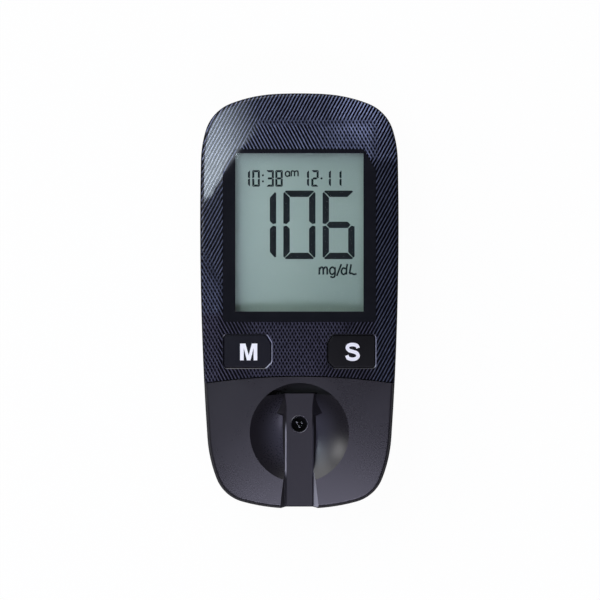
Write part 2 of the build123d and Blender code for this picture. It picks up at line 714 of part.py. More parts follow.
def toe(grow):
    """Deep crescent of the dish between its edge and the end of the ridge, grown all round."""
    floor = THICKNESS - TOE_DEPTH - grow
    outer = post(0, DISH_Y, DISH_RADIUS + grow, floor, THICKNESS + BREAKOUT)
    return outer - post(0, RIDGE_END_Y - TOE_RADIUS, TOE_RADIUS - grow, SPLIT_Z, 2 * THICKNESS)


def ridge_frame():
    """Place of the end of the ridge, tilted along its slope."""
    return Pos(0, RIDGE_END_Y, RIDGE_END_Z) * Rot(RIDGE_SLOPE_DEG, 0, 0)


def ridge(grow, length):
    """The ridge as a drafted bar that runs from its end to past the strip end."""
    neck_share = RIDGE_NECK / RIDGE_SHOULDER
    neck_foot = RIDGE_END_FOOT + (RIDGE_SHOULDER_FOOT - RIDGE_END_FOOT) * neck_share
    stations = [
        (0.0, RIDGE_END_WIDTH, RIDGE_END_FOOT),
        (RIDGE_NECK, RIDGE_WIDTH, neck_foot),
        (RIDGE_SHOULDER, RIDGE_WIDTH, RIDGE_SHOULDER_FOOT),
        (RIDGE_SHOULDER + RIDGE_SHOULDER_TURN, RIDGE_WIDTH, RIDGE_FOOT),
        (length, RIDGE_WIDTH, RIDGE_FOOT),
    ]
    sections = []
    for along, width, spread in stations:
        half = width / 2 + grow
        right = [(half + spread, -RIDGE_HEIGHT), (half + spread, -RIDGE_FLANK_DEPTH),
                 (half, -RIDGE_EDGE), (half - RIDGE_EDGE, 0.0)]
        left = [(-x, z) for x, z in reversed(right)]
        sections.append(Wire.make_polygon([(x, -along, z + grow) for x, z in right + left]))
    return ridge_frame() * Pos(0, grow, 0) * Solid.make_loft(sections, True)


def channel(grow):
    """Flared channel with sloping walls that the ridge runs in at the strip end."""
    start = RIDGE_END_Y - STRIP_END_Y - CHANNEL_LENGTH - grow
    stop = RIDGE_END_Y - STRIP_END_Y + BREAKOUT
    foot = RIDGE_WIDTH / 2 + CHANNEL_GAP
    sections = []
    for along, width in ((start, CHANNEL_START_WIDTH), (stop, CHANNEL_END_WIDTH)):
        flare = (width / 2 - foot) / CHANNEL_RISE
        low = foot + grow
        high = foot + grow + flare * CHANNEL_TOP
        floor = -CHANNEL_GROOVE - grow
        sections.append(Wire.make_polygon([
            (-low, -along, floor), (low, -along, floor),
            (high, -along, CHANNEL_TOP), (-high, -along, CHANNEL_TOP)]))
    return ridge_frame() * Solid.make_loft(sections, True)


def guide_seat_z():
    """Height of the ledge that the strip guide stands on."""
    return DECK_TOP + DECK_GAP


def tongue(side):
    """Hinge tongue of the cover under the front casing."""
    x = side * TONGUE_X
    half = TONGUE_WIDTH / 2
    edge = seam_y(TONGUE_X)
    top = front_height(TONGUE_X, edge) - TONGUE_DROP
    arm = block((x - half, x + half), (edge - TONGUE_ROOT, edge + TONGUE_REACH),
                (top - TONGUE_THICKNESS, top))
    root = block((x - half, x + half), (edge - TONGUE_ROOT, edge), (top - TONGUE_THICKNESS, THICKNESS))
    return arm + ((root & pebble(COVER_WALL / 2)) & below_seam(-SEAM_GAP))


def tongue_pocket(side):
    """Slot in the front casing for a hinge tongue, with room for it to swing."""
    x = side * TONGUE_X
    half = TONGUE_WIDTH / 2 + TONGUE_CLEARANCE
    edge = seam_y(TONGUE_X)
    top = front_height(TONGUE_X, edge) - TONGUE_DROP
    return block((x - half, x + half), (edge - TONGUE_ROOT, edge + TONGUE_REACH + TONGUE_CLEARANCE),
                 (top - TONGUE_THICKNESS - TONGUE_CLEARANCE, top + TONGUE_CLEARANCE / 2))


def window_cover():
    """Matte cover over the measuring window, with its dish and its channel."""
    above = layer(SPLIT_Z + COVER_LIFT_GAP, THICKNESS + BREAKOUT)
    body = (pebble(0.0, RIM_STEP) & above) & below_seam(-SEAM_GAP)
    dish = dish_cylinder(0) & bowl(0)
    groove = channel(0.0)
    shell = cut_both_halves(body - pebble(COVER_WALL), dish)
    shell = cut_both_halves(shell, toe(0.0))
    cup = ((dish_cylinder(DISH_WALL) & bowl(DISH_WALL)) & body) - dish
    cup -= toe(0.0)
    toe_cup = ((toe(DISH_WALL) & body) - dish) - toe(0.0)
    pad = (channel(DISH_WALL) & body) - dish
    cover = (shell + cup + toe_cup) - groove
    cover += pad - groove
    cover -= ridge(0, LENGTH) & layer(guide_seat_z(), THICKNESS)
    for piece in both_sides(tongue):
        cover += piece
    return cover - end_notch(RIM_STEP)


def strip_guide():
    """Raised bar that guides the test strip over the measuring window."""
    bar = ridge(0, LENGTH) & layer(guide_seat_z(), THICKNESS)
    hollow_length = RIDGE_END_Y - STRIP_END_Y - RIDGE_SOLID_END - RIDGE_WALL
    bar -= ridge(-RIDGE_WALL, hollow_length)
    bar &= pebble(0.0, RIM_STEP)
    hole = post(0, EYE_Y, EYE_RADIUS, SPLIT_Z, THICKNESS)
    rim_top = RIDGE_END_Z - math.tan(math.radians(RIDGE_SLOPE_DEG)) * (RIDGE_END_Y - EYE_Y)
    flare = Pos(0, EYE_Y, rim_top) * Rot(RIDGE_SLOPE_DEG, 0, 0) * Cone(
        EYE_RADIUS, EYE_RADIUS + 2 * EYE_CHAMFER, 2 * EYE_CHAMFER)
    return bar - hole - flare - end_notch(RIM_STEP)


# --------------------------------------------------------------------- optics
def window_top():
    """Height of the measuring window under the eye of the strip guide."""
    slope = math.tan(math.radians(RIDGE_SLOPE_DEG))
    return RIDGE_END_Z - slope * (RIDGE_END_Y - EYE_Y) - RIDGE_WALL - WINDOW_GAP


def optics_block():
    """Light-tight block on the board with a turret up to the window."""
    half = TURRET_BASE / 2
    base_top = DECK_BOTTOM - SEAL_THICKNESS
    base = block((-half, half), (EYE_Y - half, EYE_Y + half), (BOARD_TOP, base_top))
    turret = post(0, EYE_Y, TURRET_RADIUS, BOARD_TOP, window_top() - WINDOW_THICKNESS)
    chamber = CHAMBER_SIZE / 2
    room = block((-chamber, chamber), (EYE_Y - chamber, EYE_Y + chamber),
                 (BOARD_TOP - BREAKOUT, BOARD_TOP + CHAMBER_HEIGHT))
    bore = post(0, EYE_Y, BORE_RADIUS, BOARD_TOP, THICKNESS)
    return base + turret - room - bore


def measuring_window():
    """Clear pane on the turret."""
    return post(0, EYE_Y, TURRET_RADIUS, window_top() - WINDOW_THICKNESS, window_top())


def light_seal():
    """Foam washer between the optics block and the deck."""
    inner = TURRET_RADIUS + TURRET_CLEARANCE
    return ring(0, EYE_Y, inner + SEAL_WIDTH, inner, DECK_BOTTOM - SEAL_THICKNESS, DECK_BOTTOM)


def light_chip(place):
    """Chip in the chamber of the optics block.  place is -1 or 1 along Y."""
    half = EMITTER_SIZE / 2
    half_length = EMITTER_LENGTH / 2
    y = EYE_Y + place * EMITTER_PITCH / 2
    return block((-half, half), (y - half_length, y + half_length),
                 (BOARD_TOP, BOARD_TOP + EMITTER_HEIGHT))


# ---------------------------------------------------------- board and its parts
def circuit_board():
    """Board that fills the casing, with holes for the screws."""
    board = extrude(outline(BOARD_INSET), BOARD_THICKNESS)
    board = Pos(0, 0, BOARD_BOTTOM) * board
    for x, y in all_bosses():
        board -= post(x, y, SCREW_HOLE_RADIUS, BOARD_BOTTOM - BREAKOUT, BOARD_TOP + BREAKOUT)
    return board


def board_chips():
    """Processor, memory, crystal and a row of small parts, as separate solids."""
    middle = (VIEW_LOW_Y + VIEW_TOP_Y) / 2
    sizes = [  # centre x, centre y from the middle of the display, width, length, height
        (0.0, 0.0, 10.0, 10.0, 1.2),
        (8.5, -9.0, 5.0, 4.0, 1.0),
        (-8.0, -9.0, 3.2, 1.6, 0.8),
    ]
    for step in range(5):
        sizes.append((-6.0 + 3.0 * step, 9.0, 1.6, 0.8, 0.6))
    chips = []
    for x, offset, wide, long, high in sizes:
        y = middle + offset
        chips.append(block((x - wide / 2, x + wide / 2), (y - long / 2, y + long / 2),
                           (BOARD_TOP, BOARD_TOP + high)))
    return Compound(chips)


def buzzer():
    """Sounder under the board, between the battery bay and the strip end."""
    return post(0, KEY_Y, BUZZER_RADIUS, BOARD_BOTTOM - BUZZER_HEIGHT, BOARD_BOTTOM)


def usb_socket():
    """Micro USB shell on the board at the display end."""
    outer_y = LENGTH / 2 - USB_SETBACK
    half = USB_WIDTH / 2
    top = BOARD_TOP + USB_HEIGHT
    shell = block((-half, half), (outer_y - USB_DEPTH, outer_y), (BOARD_TOP, top))
    return shell - block(
        (-half + USB_SHELL, half - USB_SHELL),
        (outer_y - USB_DEPTH + USB_BACK, outer_y + BREAKOUT),
        (BOARD_TOP + USB_SHELL, top - USB_SHELL))


def usb_blade():
    """Contact blade inside the USB shell."""
    wide, high = USB_BLADE
    back_y = LENGTH / 2 - USB_SETBACK - USB_DEPTH + USB_BACK
    middle = BOARD_TOP + USB_HEIGHT / 2
    return block((-wide / 2, wide / 2), (back_y, LENGTH / 2 - USB_SETBACK - USB_SHELL),
                 (middle - high / 2, middle + high / 2))


# ------------------------------------------------------------ battery and door
def coin_cell():
    """Lithium coin cell: can and smaller negative cap."""
    shoulder = CELL_BOTTOM + CELL_HEIGHT - CELL_STEP
    can = post(0, CELL_Y, CELL_RADIUS, CELL_BOTTOM, shoulder)
    cap = post(0, CELL_Y, CELL_RADIUS - 2 * CELL_STEP, shoulder, CELL_BOTTOM + CELL_HEIGHT)
    return can + cap


def contact_slot(side):
    """Slot in the bay roof for a contact.  side 1 is negative, -1 positive."""
    x = side * CELL_RADIUS / 2
    half = CONTACT_WIDTH / 2
    return block((x - half, x + half), (CELL_Y - half, CELL_Y + half),
                 (BAY_CEILING - BREAKOUT, BAY_TOP + BREAKOUT))


def negative_contact():
    """Leaf from the board down to the cap of the cell."""
    half = CONTACT_WIDTH / 2 - LENS_GAP
    x = CELL_RADIUS / 2
    cell_top = CELL_BOTTOM + CELL_HEIGHT
    riser = block((x + half - CONTACT_THICKNESS, x + half), (CELL_Y - half, CELL_Y + half),
                  (cell_top, BOARD_BOTTOM))
    leaf = block((x - half, x + half), (CELL_Y - half, CELL_Y + half),
                 (cell_top, cell_top + CONTACT_THICKNESS))
    return riser + leaf


def positive_contact():
    """Clip in the bay that bears on the side of the can."""
    half = CONTACT_WIDTH / 2
    outer = -BAY_RADIUS + BAY_CLEARANCE / 2
    wall = block((outer - CONTACT_THICKNESS, outer), (CELL_Y - half, CELL_Y + half),
                 (CELL_BOTTOM, BAY_CEILING))
    pad = block((outer, -CELL_RADIUS), (CELL_Y - CONTACT_THICKNESS, CELL_Y + CONTACT_THICKNESS),
                (CELL_BOTTOM, CELL_BOTTOM + 4 * CONTACT_THICKNESS))
    return wall + pad


def tab_pocket(side):
    """Room for a tab of the door to swing through."""
    half = TAB_WIDTH / 2 + TAB_CLEARANCE
    x = side * TAB_X
    barrel = Pos(x, DOOR_LOW_Y, 0) * Rot(0, 90, 0) * Cylinder(TAB_POCKET_RADIUS, 2 * half)
    # the wall below the tab stays
    floor = block((x - half, x + half), (DOOR_LOW_Y - TAB_POCKET_RADIUS, DOOR_LOW_Y - DOOR_GAP),
                  (-TAB_POCKET_RADIUS, WALL))
    return barrel - floor


def battery_door():
    """Door over the battery, with two tabs, a sprung latch and a thumb groove."""
    door = door_plan(0, DOOR_SINK, DOOR_TOP)
    tab_low = WALL + TAB_CLEARANCE
    for side in (1, -1):
        x_range = (side * TAB_X - TAB_WIDTH / 2, side * TAB_X + TAB_WIDTH / 2)
        door += block(x_range, (DOOR_LOW_Y, DOOR_LOW_Y + TAB_ROOT),
                      (DOOR_TOP - DOOR_SINK, tab_low + TAB_THICKNESS))
        door += block(x_range, (DOOR_LOW_Y - TAB_REACH, DOOR_LOW_Y + TAB_ROOT),
                      (tab_low, tab_low + TAB_THICKNESS))
    for side in (1, -1):
        x = side * (LATCH_WIDTH + LATCH_SLOT) / 2
        door -= block((x - LATCH_SLOT / 2, x + LATCH_SLOT / 2),
                      (DOOR_TOP_Y - LATCH_LENGTH, DOOR_TOP_Y + BREAKOUT),
                      (-BREAKOUT, DOOR_TOP + BREAKOUT))
    groove_y = DOOR_TOP_Y - THUMB_SETBACK
    door -= block((-THUMB_WIDTH / 2, THUMB_WIDTH / 2), (groove_y - THUMB_LENGTH, groove_y),
                  (-BREAKOUT, DOOR_SINK + THUMB_DEPTH))
    return door


# ------------------------------------------------------------------ fasteners
def case_screws():
    """Four identical self-tapping screws, heads at the back."""
    screws = []
    head_low = SCREW_HEAD_SINK - SCREW_HEAD_HEIGHT
    for x, y in all_bosses():
        screw = post(x, y, SCREW_HEAD_RADIUS, head_low, SCREW_HEAD_SINK)
        screw += post(x, y, SCREW_SHANK_RADIUS, SCREW_HEAD_SINK, SCREW_HEAD_SINK + SCREW_LENGTH)
        slot = DRIVE_RADIUS / 3
        for across, along in ((DRIVE_RADIUS, slot), (slot, DRIVE_RADIUS)):
            screw -= block((x - across, x + across), (y - along, y + along),
                           (head_low - BREAKOUT, head_low + DRIVE_DEPTH))
        screws.append(screw)
    return Compound(screws)


def rear_label():
    """Blank label in its recess on the back."""
    return label_plan(0, LABEL_SINK - LABEL_THICKNESS, LABEL_SINK)


# --------------------------------------------------------------------- output
def parts():
    """Every node of the meter with its solid."""
    return {
        "rear_case": rear_case(),
        "front_case": front_case(),
        "display_lens": display_lens(),
        "display_border": display_border(),
        "display_gasket": display_gasket(),
        "lcd_front_film": lcd_front_film(),
        "lcd_panel": lcd_panel(),
        "lcd_rear_film": lcd_rear_film(),
        "lcd_holder": lcd_holder(),
        "zebra_strip_upper": zebra_strip(1),
        "zebra_strip_lower": zebra_strip(-1),
        "circuit_board": circuit_board(),
        "board_chips": board_chips(),
        "buzzer": buzzer(),
        "usb_socket": usb_socket(),
        "usb_blade": usb_blade(),
        "optics_block": optics_block(),
        "measuring_window": measuring_window(),
        "light_seal": light_seal(),
        "light_emitter": light_chip(-1),
        "light_sensor": light_chip(1),
        "key_switches": key_switches(),
        "switch_dome_m": switch_dome(-1),
        "switch_dome_s": switch_dome(1),
        "key_m": key_cap(-1),
        "key_s": key_cap(1),
        "window_cover": window_cover(),
        "strip_guide": strip_guide(),
        "coin_cell": coin_cell(),
        "negative_contact": negative_contact(),
        "positive_contact": positive_contact(),
        "battery_door": battery_door(),
        "case_screws": case_screws(),
        "rear_label": rear_label(),
    }


os.makedirs("parts", exist_ok=True)
for name, shape in parts().items():
    export_step(shape, f"parts/{name}.step")
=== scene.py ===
"""A handheld blood glucose meter: materials, display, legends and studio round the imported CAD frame.

Lengths are in millimetres, and MM turns them into Blender's metres. The studio is in metres.
"""
import math

import bpy
from mathutils import Matrix, Vector


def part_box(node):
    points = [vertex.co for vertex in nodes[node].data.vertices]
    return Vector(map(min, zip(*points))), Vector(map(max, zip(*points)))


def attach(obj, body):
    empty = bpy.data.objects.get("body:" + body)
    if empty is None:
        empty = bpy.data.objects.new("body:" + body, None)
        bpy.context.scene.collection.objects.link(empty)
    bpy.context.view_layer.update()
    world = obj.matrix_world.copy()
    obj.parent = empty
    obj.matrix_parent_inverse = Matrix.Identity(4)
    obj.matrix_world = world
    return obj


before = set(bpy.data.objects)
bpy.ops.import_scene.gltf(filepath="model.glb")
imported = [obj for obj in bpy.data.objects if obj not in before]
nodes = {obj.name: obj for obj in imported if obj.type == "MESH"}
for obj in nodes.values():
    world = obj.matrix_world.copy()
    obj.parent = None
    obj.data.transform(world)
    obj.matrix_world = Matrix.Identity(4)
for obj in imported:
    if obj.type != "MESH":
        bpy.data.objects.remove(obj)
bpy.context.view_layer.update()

MM = 0.001

# Front surface of the meter: a crown of two curvatures about its crest.
CREST_Z = 19.1
CREST_Y = 12.0
LONG_RADIUS = 412.0
CROSS_RADIUS = 154.0


def front_height(x, y):
    """Height of the front surface over (x, y)."""
    cross = LONG_RADIUS - CROSS_RADIUS + math.sqrt(CROSS_RADIUS**2 - x * x)
    return CREST_Z - LONG_RADIUS + math.sqrt(cross**2 - (y - CREST_Y) ** 2)


# ---------------------------------------------------------------- shader graphs


def join(tree, socket, value):
    """Set an input socket to a number or a colour, or link another node's socket to it."""
    if isinstance(value, bpy.types.NodeSocket):
        tree.links.new(value, socket)
    elif isinstance(value, tuple) and len(value) == 3 and socket.type == "RGBA":
        socket.default_value = (*value, 1.0)
    else:
        socket.default_value = value


def smooth_step(tree, value, start, end, low=0.0, high=1.0):
    """Smooth step of value from low at start to high at end."""
    made = tree.nodes.new("ShaderNodeMapRange")
    made.interpolation_type = "SMOOTHSTEP"
    names = ("Value", "From Min", "From Max", "To Min", "To Max")
    for name, item in zip(names, (value, start, end, low, high)):
        join(tree, made.inputs[name], item)
    return made.outputs["Result"]


class Graph:
    """A material, with shader nodes written as short calls. Numbers and sockets mix freely."""

    def __init__(self, name, **settings):
        self.material = bpy.data.materials.new(name)
        self.material.use_nodes = True
        self.tree = self.material.node_tree
        self.bsdf = self.tree.nodes["Principled BSDF"]
        self.output = self.tree.nodes["Material Output"]
        self.set(**settings)

    def set(self, **settings):
        for key, value in settings.items():
            join(self.tree, self.bsdf.inputs[key.replace("_", " ")], value)

    def node(self, kind, **inputs):
        made = self.tree.nodes.new(kind)
        for key, value in inputs.items():
            join(self.tree, made.inputs[key.replace("_", " ")], value)
        return made

    def math(self, operation, *values):
        made = self.tree.nodes.new("ShaderNodeMath")
        made.operation = operation
        for socket, value in zip(made.inputs, values):
            join(self.tree, socket, value)
        return made.outputs[0]

    def add(self, a, b):
        return self.math("ADD", a, b)

    def subtract(self, a, b):
        return self.math("SUBTRACT", a, b)

    def times(self, a, b):
        return self.math("MULTIPLY", a, b)

    def most(self, a, b):
        return self.math("MAXIMUM", a, b)

    def size(self, value):
        return self.math("ABSOLUTE", value)

    def ramp(self, value, start, end, low=0.0, high=1.0):
        return smooth_step(self.tree, value, start, end, low, high)

    def coordinates(self, kind):
        return self.node("ShaderNodeTexCoord").outputs[kind]

    def place(self):
        """Object coordinates in millimetres: x, y, z sockets."""
        split = self.node("ShaderNodeSeparateXYZ", Vector=self.coordinates("Object"))
        return [self.times(split.outputs[i], 1 / MM) for i in range(3)]

    def facing(self):
        """How far the surface faces right, towards the display's end, and up: three sockets."""
        return self.node("ShaderNodeSeparateXYZ", Vector=self.coordinates("Normal")).outputs

    def distance(self, x, y, centre):
        across = self.math("POWER", self.subtract(x, centre[0]), 2.0)
        along = self.math("POWER", self.subtract(y, centre[1]), 2.0)
        return self.math("SQRT", self.add(across, along))

    def noise(self, scale, detail=2.0, roughness=0.5):
        """Noise from 0 to 1 with the given number of features to the millimetre."""
        made = self.node(
            "ShaderNodeTexNoise",
            Vector=self.coordinates("Object"), Scale=scale / MM, Detail=detail, Roughness=roughness,
        )
        return made.outputs["Fac"]

    def blend(self, factor, first, second):
        made = self.tree.nodes.new("ShaderNodeMix")
        made.data_type = "RGBA"
        colours = [socket for socket in made.inputs if socket.type == "RGBA"]
        join(self.tree, made.inputs[0], factor)
        join(self.tree, colours[0], first)
        join(self.tree, colours[1], second)
        return next(socket for socket in made.outputs if socket.type == "RGBA")

    def scaled(self, colour, factor):
        made = self.tree.nodes.new("ShaderNodeVectorMath")
        made.operation = "SCALE"
        join(self.tree, made.inputs[0], colour)
        join(self.tree, made.inputs["Scale"], factor)
        return made.outputs[0]

    def bump(self, height, depth):
        """Bump whose height of 1 is depth millimetres."""
        made = self.node("ShaderNodeBump", Height=height, Distance=depth * MM, Strength=1.0)
        self.set(Normal=made.outputs[0])

    def colour(self):
        """Socket that feeds the base colour so far."""
        return self.bsdf.inputs["Base Color"].links[0].from_socket

    def clear_to_lamps(self, tint, share=None):
        """Let lamps through to what lies behind; share is where, from 0 to 1, or everywhere."""
        shadow = self.node("ShaderNodeLightPath").outputs["Is Shadow Ray"]
        if share is not None:
            shadow = self.times(shadow, share)
        clear = self.node("ShaderNodeBsdfTransparent", Color=tint)
        self.mix_surface(shadow, clear)

    def mix_surface(self, factor, other):
        mixed = self.node("ShaderNodeMixShader", Fac=factor)
        join(self.tree, mixed.inputs[1], self.bsdf.outputs[0])
        join(self.tree, mixed.inputs[2], other.outputs[0])
        join(self.tree, self.output.inputs["Surface"], mixed.outputs[0])


def srgb(r, g, b):
    """Linear colour of 8-bit sRGB values."""
    def linear(v):
        v /= 255.0
        return v / 12.92 if v <= 0.04045 else ((v + 0.055) / 1.055) ** 2.4
    return (linear(r), linear(g), linear(b))


def paint(graph, *names):
    for name in names:
        target = nodes[name].data.materials
        target.clear()
        target.append(graph.material)


# ---------------------------------------------------------------- plastics

FINE_SHARE = 0.45  # of the tone, the rest being slow patches
GLOSS_SPREAD = (-0.04, 0.05)  # roughness of the darkest and the lightest tone, from the middle
SIDE_FACING = (0.78, 0.55)  # facing up from which, and at which, a surface counts as a side


def plastic(name, dark, light, roughness, grain=3.0, depth=0.006, level=0.5, patch=0.08, side=0.0):
    """Moulded plastic: fine spark-eroded grain, and slow changes of tone and of gloss.

    side is the least roughness of what faces sideways or down.
    """
    graph = Graph(name, Specular_IOR_Level=level)
    fine = graph.noise(grain, 2.0, 0.6)
    slow = graph.noise(patch, 2.0)
    tone = graph.add(graph.times(fine, FINE_SHARE), graph.times(slow, 1 - FINE_SHARE))
    graph.set(Base_Color=graph.blend(tone, dark, light))
    gloss = graph.ramp(tone, 0.25, 0.75, roughness + GLOSS_SPREAD[0], roughness + GLOSS_SPREAD[1])
    sides = graph.ramp(graph.facing()[2], *SIDE_FACING, 0.0, side)
    graph.set(Roughness=graph.most(gloss, sides))
    graph.bump(fine, depth)
    return graph


# Painted shade and light on the cover and the strip guide: where each area begins and where it is
# full.
POCKET_DEPTH = (16.4, 15.2)
POCKET_END = (-23.2, -22.2)
POCKET_SIDE = (6.5, 3.5)
DISH_CENTRE = (0.0, -31.0)
DISH_LIGHT_REACH = (10.5, 3.5)
RIDGE_EDGE = 3.2
RIDGE_EDGE_WIDTH = (0.24, 0.1)
RIDGE_EDGE_START = (-28.0, -31.0)
RIDGE_EDGE_END = (-42.0, -40.0)
WALL_FACING = (-0.5, -0.7)
WALL_INNER = (3.0, 3.4)
WALL_OUTER = (5.8, 5.4)
WALL_START = (-38.0, -40.0)


def cover_plastic(name, roughness, level, painted_light):
    """Satin grey plastic, matt on its edges; painted shade makes it black in the pocket past the
    ridge's end.

    The last argument is how much painted light lightens the middle of the dish, from 0 to 1.
    """
    dark, light = srgb(28, 26, 31), srgb(34, 32, 37)
    graph = plastic(name, dark, light, roughness, depth=0.003, level=level, side=0.9)
    x, y, z = graph.place()
    # Painted shade: black in the pocket past the ridge's end.
    painted_pocket_shade = graph.times(graph.ramp(z, *POCKET_DEPTH), graph.ramp(y, *POCKET_END))
    painted_pocket_shade = graph.times(painted_pocket_shade, graph.ramp(graph.size(x), *POCKET_SIDE))
    colour = graph.blend(painted_pocket_shade, graph.colour(), srgb(7, 7, 9))

    # Painted light lightens the middle of the dish, where the bowl catches the light.
    middle = graph.ramp(graph.distance(x, y, DISH_CENTRE), *DISH_LIGHT_REACH, 0.0, painted_light)
    colour = graph.blend(middle, colour, srgb(62, 61, 71))

    # Painted highlights on the ridge's long edges, the left one most, and on the channel's right wall.
    edge = graph.size(graph.subtract(graph.size(x), RIDGE_EDGE))
    edge = graph.times(graph.ramp(edge, *RIDGE_EDGE_WIDTH), graph.ramp(x, 1.0, -1.0, 0.25, 1.0))
    along = graph.times(graph.ramp(y, *RIDGE_EDGE_START), graph.ramp(y, *RIDGE_EDGE_END))
    wall = graph.times(graph.ramp(x, *WALL_INNER), graph.ramp(x, *WALL_OUTER))
    wall = graph.times(wall, graph.ramp(graph.facing()[0], *WALL_FACING))
    wall = graph.times(wall, graph.ramp(y, *WALL_START))
    painted_highlight = graph.most(graph.times(edge, along), wall)
    graph.set(Base_Color=graph.blend(painted_highlight, colour, srgb(140, 139, 150)))
    return graph


RIM_FACING = (-0.15, -0.3)


def rim_plastic():
    """Glossy chamfer, with a painted highlight on the sides that face left, towards the light."""
    graph = plastic("rim_black", srgb(26, 27, 34), srgb(34, 35, 43), 0.28, depth=0.001, level=0.9)
    # Painted highlight on the sides that face left.
    painted_light = graph.ramp(graph.facing()[0], *RIM_FACING)
    graph.set(Base_Color=graph.blend(painted_light, graph.colour(), srgb(128, 130, 150)))
    return graph


# ---------------------------------------------------------------- the hatched front and the lens

# Fine ribs in two families: slash, leaning right, and back, leaning left.
RIB_PITCH = 0.74
RIB_LEAN = math.radians(61.5)
RIB_FLANK = (0.5, 0.16)  # from the rib's middle line, in half pitches: its foot and its crest
RIB_WANDER = 0.25
RIB_DEPTH = 0.04
RIB_SIDE = (0.2, 0.45)  # facing up at which ribs start, and are full

# Areas of the hatching: where each begins and where it is full, along x or y, or for those named
# lean across a slanting line.
LEAN = (0.866, 0.5)
LOW_LEFT_LEAN = (-12.0, -16.5)
MIDDLE_TOP = (-3.0, -5.0)
MIDDLE_RIGHT_LEAN = (15.0, 10.5)
CROWN_BOTTOM = (33.0, 33.6)
CROWN_TOP = (43.5, 40.5)
CROWN_LEFT_LEAN = (-30.2, -29.2)
CROWN_RIGHT = (19.0, 16.4)
KEYS_CROSSING_TOP = (-3.0, -6.0)
KEYS_CROSSING_SIDE = (14.0, 9.0)
EDGE_CROSSING_SIDE = (-18.6, -19.4)
EDGE_CROSSING_TOP = (12.0, 4.0)
CROWN_CROSSING_LEFT = (2.0, 9.0)
EDGE_CROSSING = 0.55
CROWN_CROSSING = 0.6
CROSSING = 0.8

# Tone of the ribs: painted light makes them lighter at the top, on the left and in a painted glare
# spot at the upper right, painted shade darker on the right; greyer ones round the keys.
TOP_START = (32.0, 34.0)
LEFT_START = (-16.0, -20.0)
RIGHT_START = (15.0, 19.0)
TOP_LIFT, LEFT_LIFT, RIGHT_DROP = 1.2, 0.3, 0.15
SPOT, SPOT_REACH, SPOT_LIFT = (15.0, 45.0), (10.0, 2.5), 2.2
GREY_TOP = (-2.0, -4.0)
GREY_RIGHT = (19.0, 16.0)
FRONT_FACING = (0.75, 0.93)
PLAIN_SIDE_FACING = (0.5, 0.3)
SIDE_ROUGHNESS, FRONT_ROUGHNESS = 0.8, 0.34


def hatch(graph, x, y, sign):
    """Fine raised ribs, leaning right for sign 1 and left for sign -1: 0 to 1."""
    across = graph.subtract(
        graph.times(x, math.sin(RIB_LEAN) / RIB_PITCH),
        graph.times(y, sign * math.cos(RIB_LEAN) / RIB_PITCH),
    )
    away = graph.times(graph.size(graph.subtract(graph.math("FRACT", across), 0.5)), 2.0)
    return graph.ramp(away, *RIB_FLANK)


def rib_families(graph, x, y):
    """Both families of ribs, slightly wandering, as the front panel and the lens share them."""
    wander = graph.noise(0.25, 1.0)
    bent = graph.add(x, graph.times(graph.subtract(wander, 0.5), RIB_WANDER))
    return hatch(graph, bent, y, 1.0), hatch(graph, bent, y, -1.0)


def panel_ribs(graph, x, y):
    """Ribs of the front, with each family where it shows: 0 to 1."""
    slash, back = rib_families(graph, x, y)
    lean_left = graph.add(graph.times(x, LEAN[0]), graph.times(y, LEAN[1]))
    lean_right = graph.subtract(graph.times(x, LEAN[0]), graph.times(y, LEAN[1]))
    low_left = graph.ramp(lean_left, *LOW_LEFT_LEAN)
    middle = graph.times(graph.ramp(y, *MIDDLE_TOP), graph.ramp(lean_right, *MIDDLE_RIGHT_LEAN))
    crown = graph.times(graph.ramp(y, *CROWN_BOTTOM), graph.ramp(lean_right, *CROWN_LEFT_LEAN))
    crown = graph.times(crown, graph.ramp(y, *CROWN_TOP))
    crown = graph.times(crown, graph.ramp(x, *CROWN_RIGHT))
    back_share = graph.most(graph.most(low_left, middle), crown)

    # Where the two families cross.
    keys = graph.times(
        graph.ramp(y, *KEYS_CROSSING_TOP), graph.ramp(graph.size(x), *KEYS_CROSSING_SIDE)
    )
    edge = graph.times(
        graph.ramp(x, *EDGE_CROSSING_SIDE), graph.ramp(y, *EDGE_CROSSING_TOP, 0.0, EDGE_CROSSING)
    )
    top = graph.times(crown, graph.ramp(x, *CROWN_CROSSING_LEFT, 0.0, CROWN_CROSSING))
    crossing = graph.times(graph.most(graph.most(keys, edge), top), CROSSING)
    slash_share = graph.most(graph.subtract(1.0, back_share), crossing)
    return graph.most(graph.times(slash, slash_share), graph.times(back, back_share))


def painted_panel_light(graph, x, y):
    """Painted light on the ribs, as a factor: most round the top and towards its upper right, a little
    on the left, with painted shade on the right.
    """
    lift = graph.ramp(y, *TOP_START, 0.0, TOP_LIFT)
    lift = graph.add(lift, graph.ramp(x, *LEFT_START, 0.0, LEFT_LIFT))
    lift = graph.subtract(lift, graph.ramp(x, *RIGHT_START, 0.0, RIGHT_DROP))
    glare_spot = graph.ramp(graph.distance(x, y, SPOT), *SPOT_REACH, 0.0, SPOT_LIFT)
    return graph.add(1.0, graph.add(lift, glare_spot))


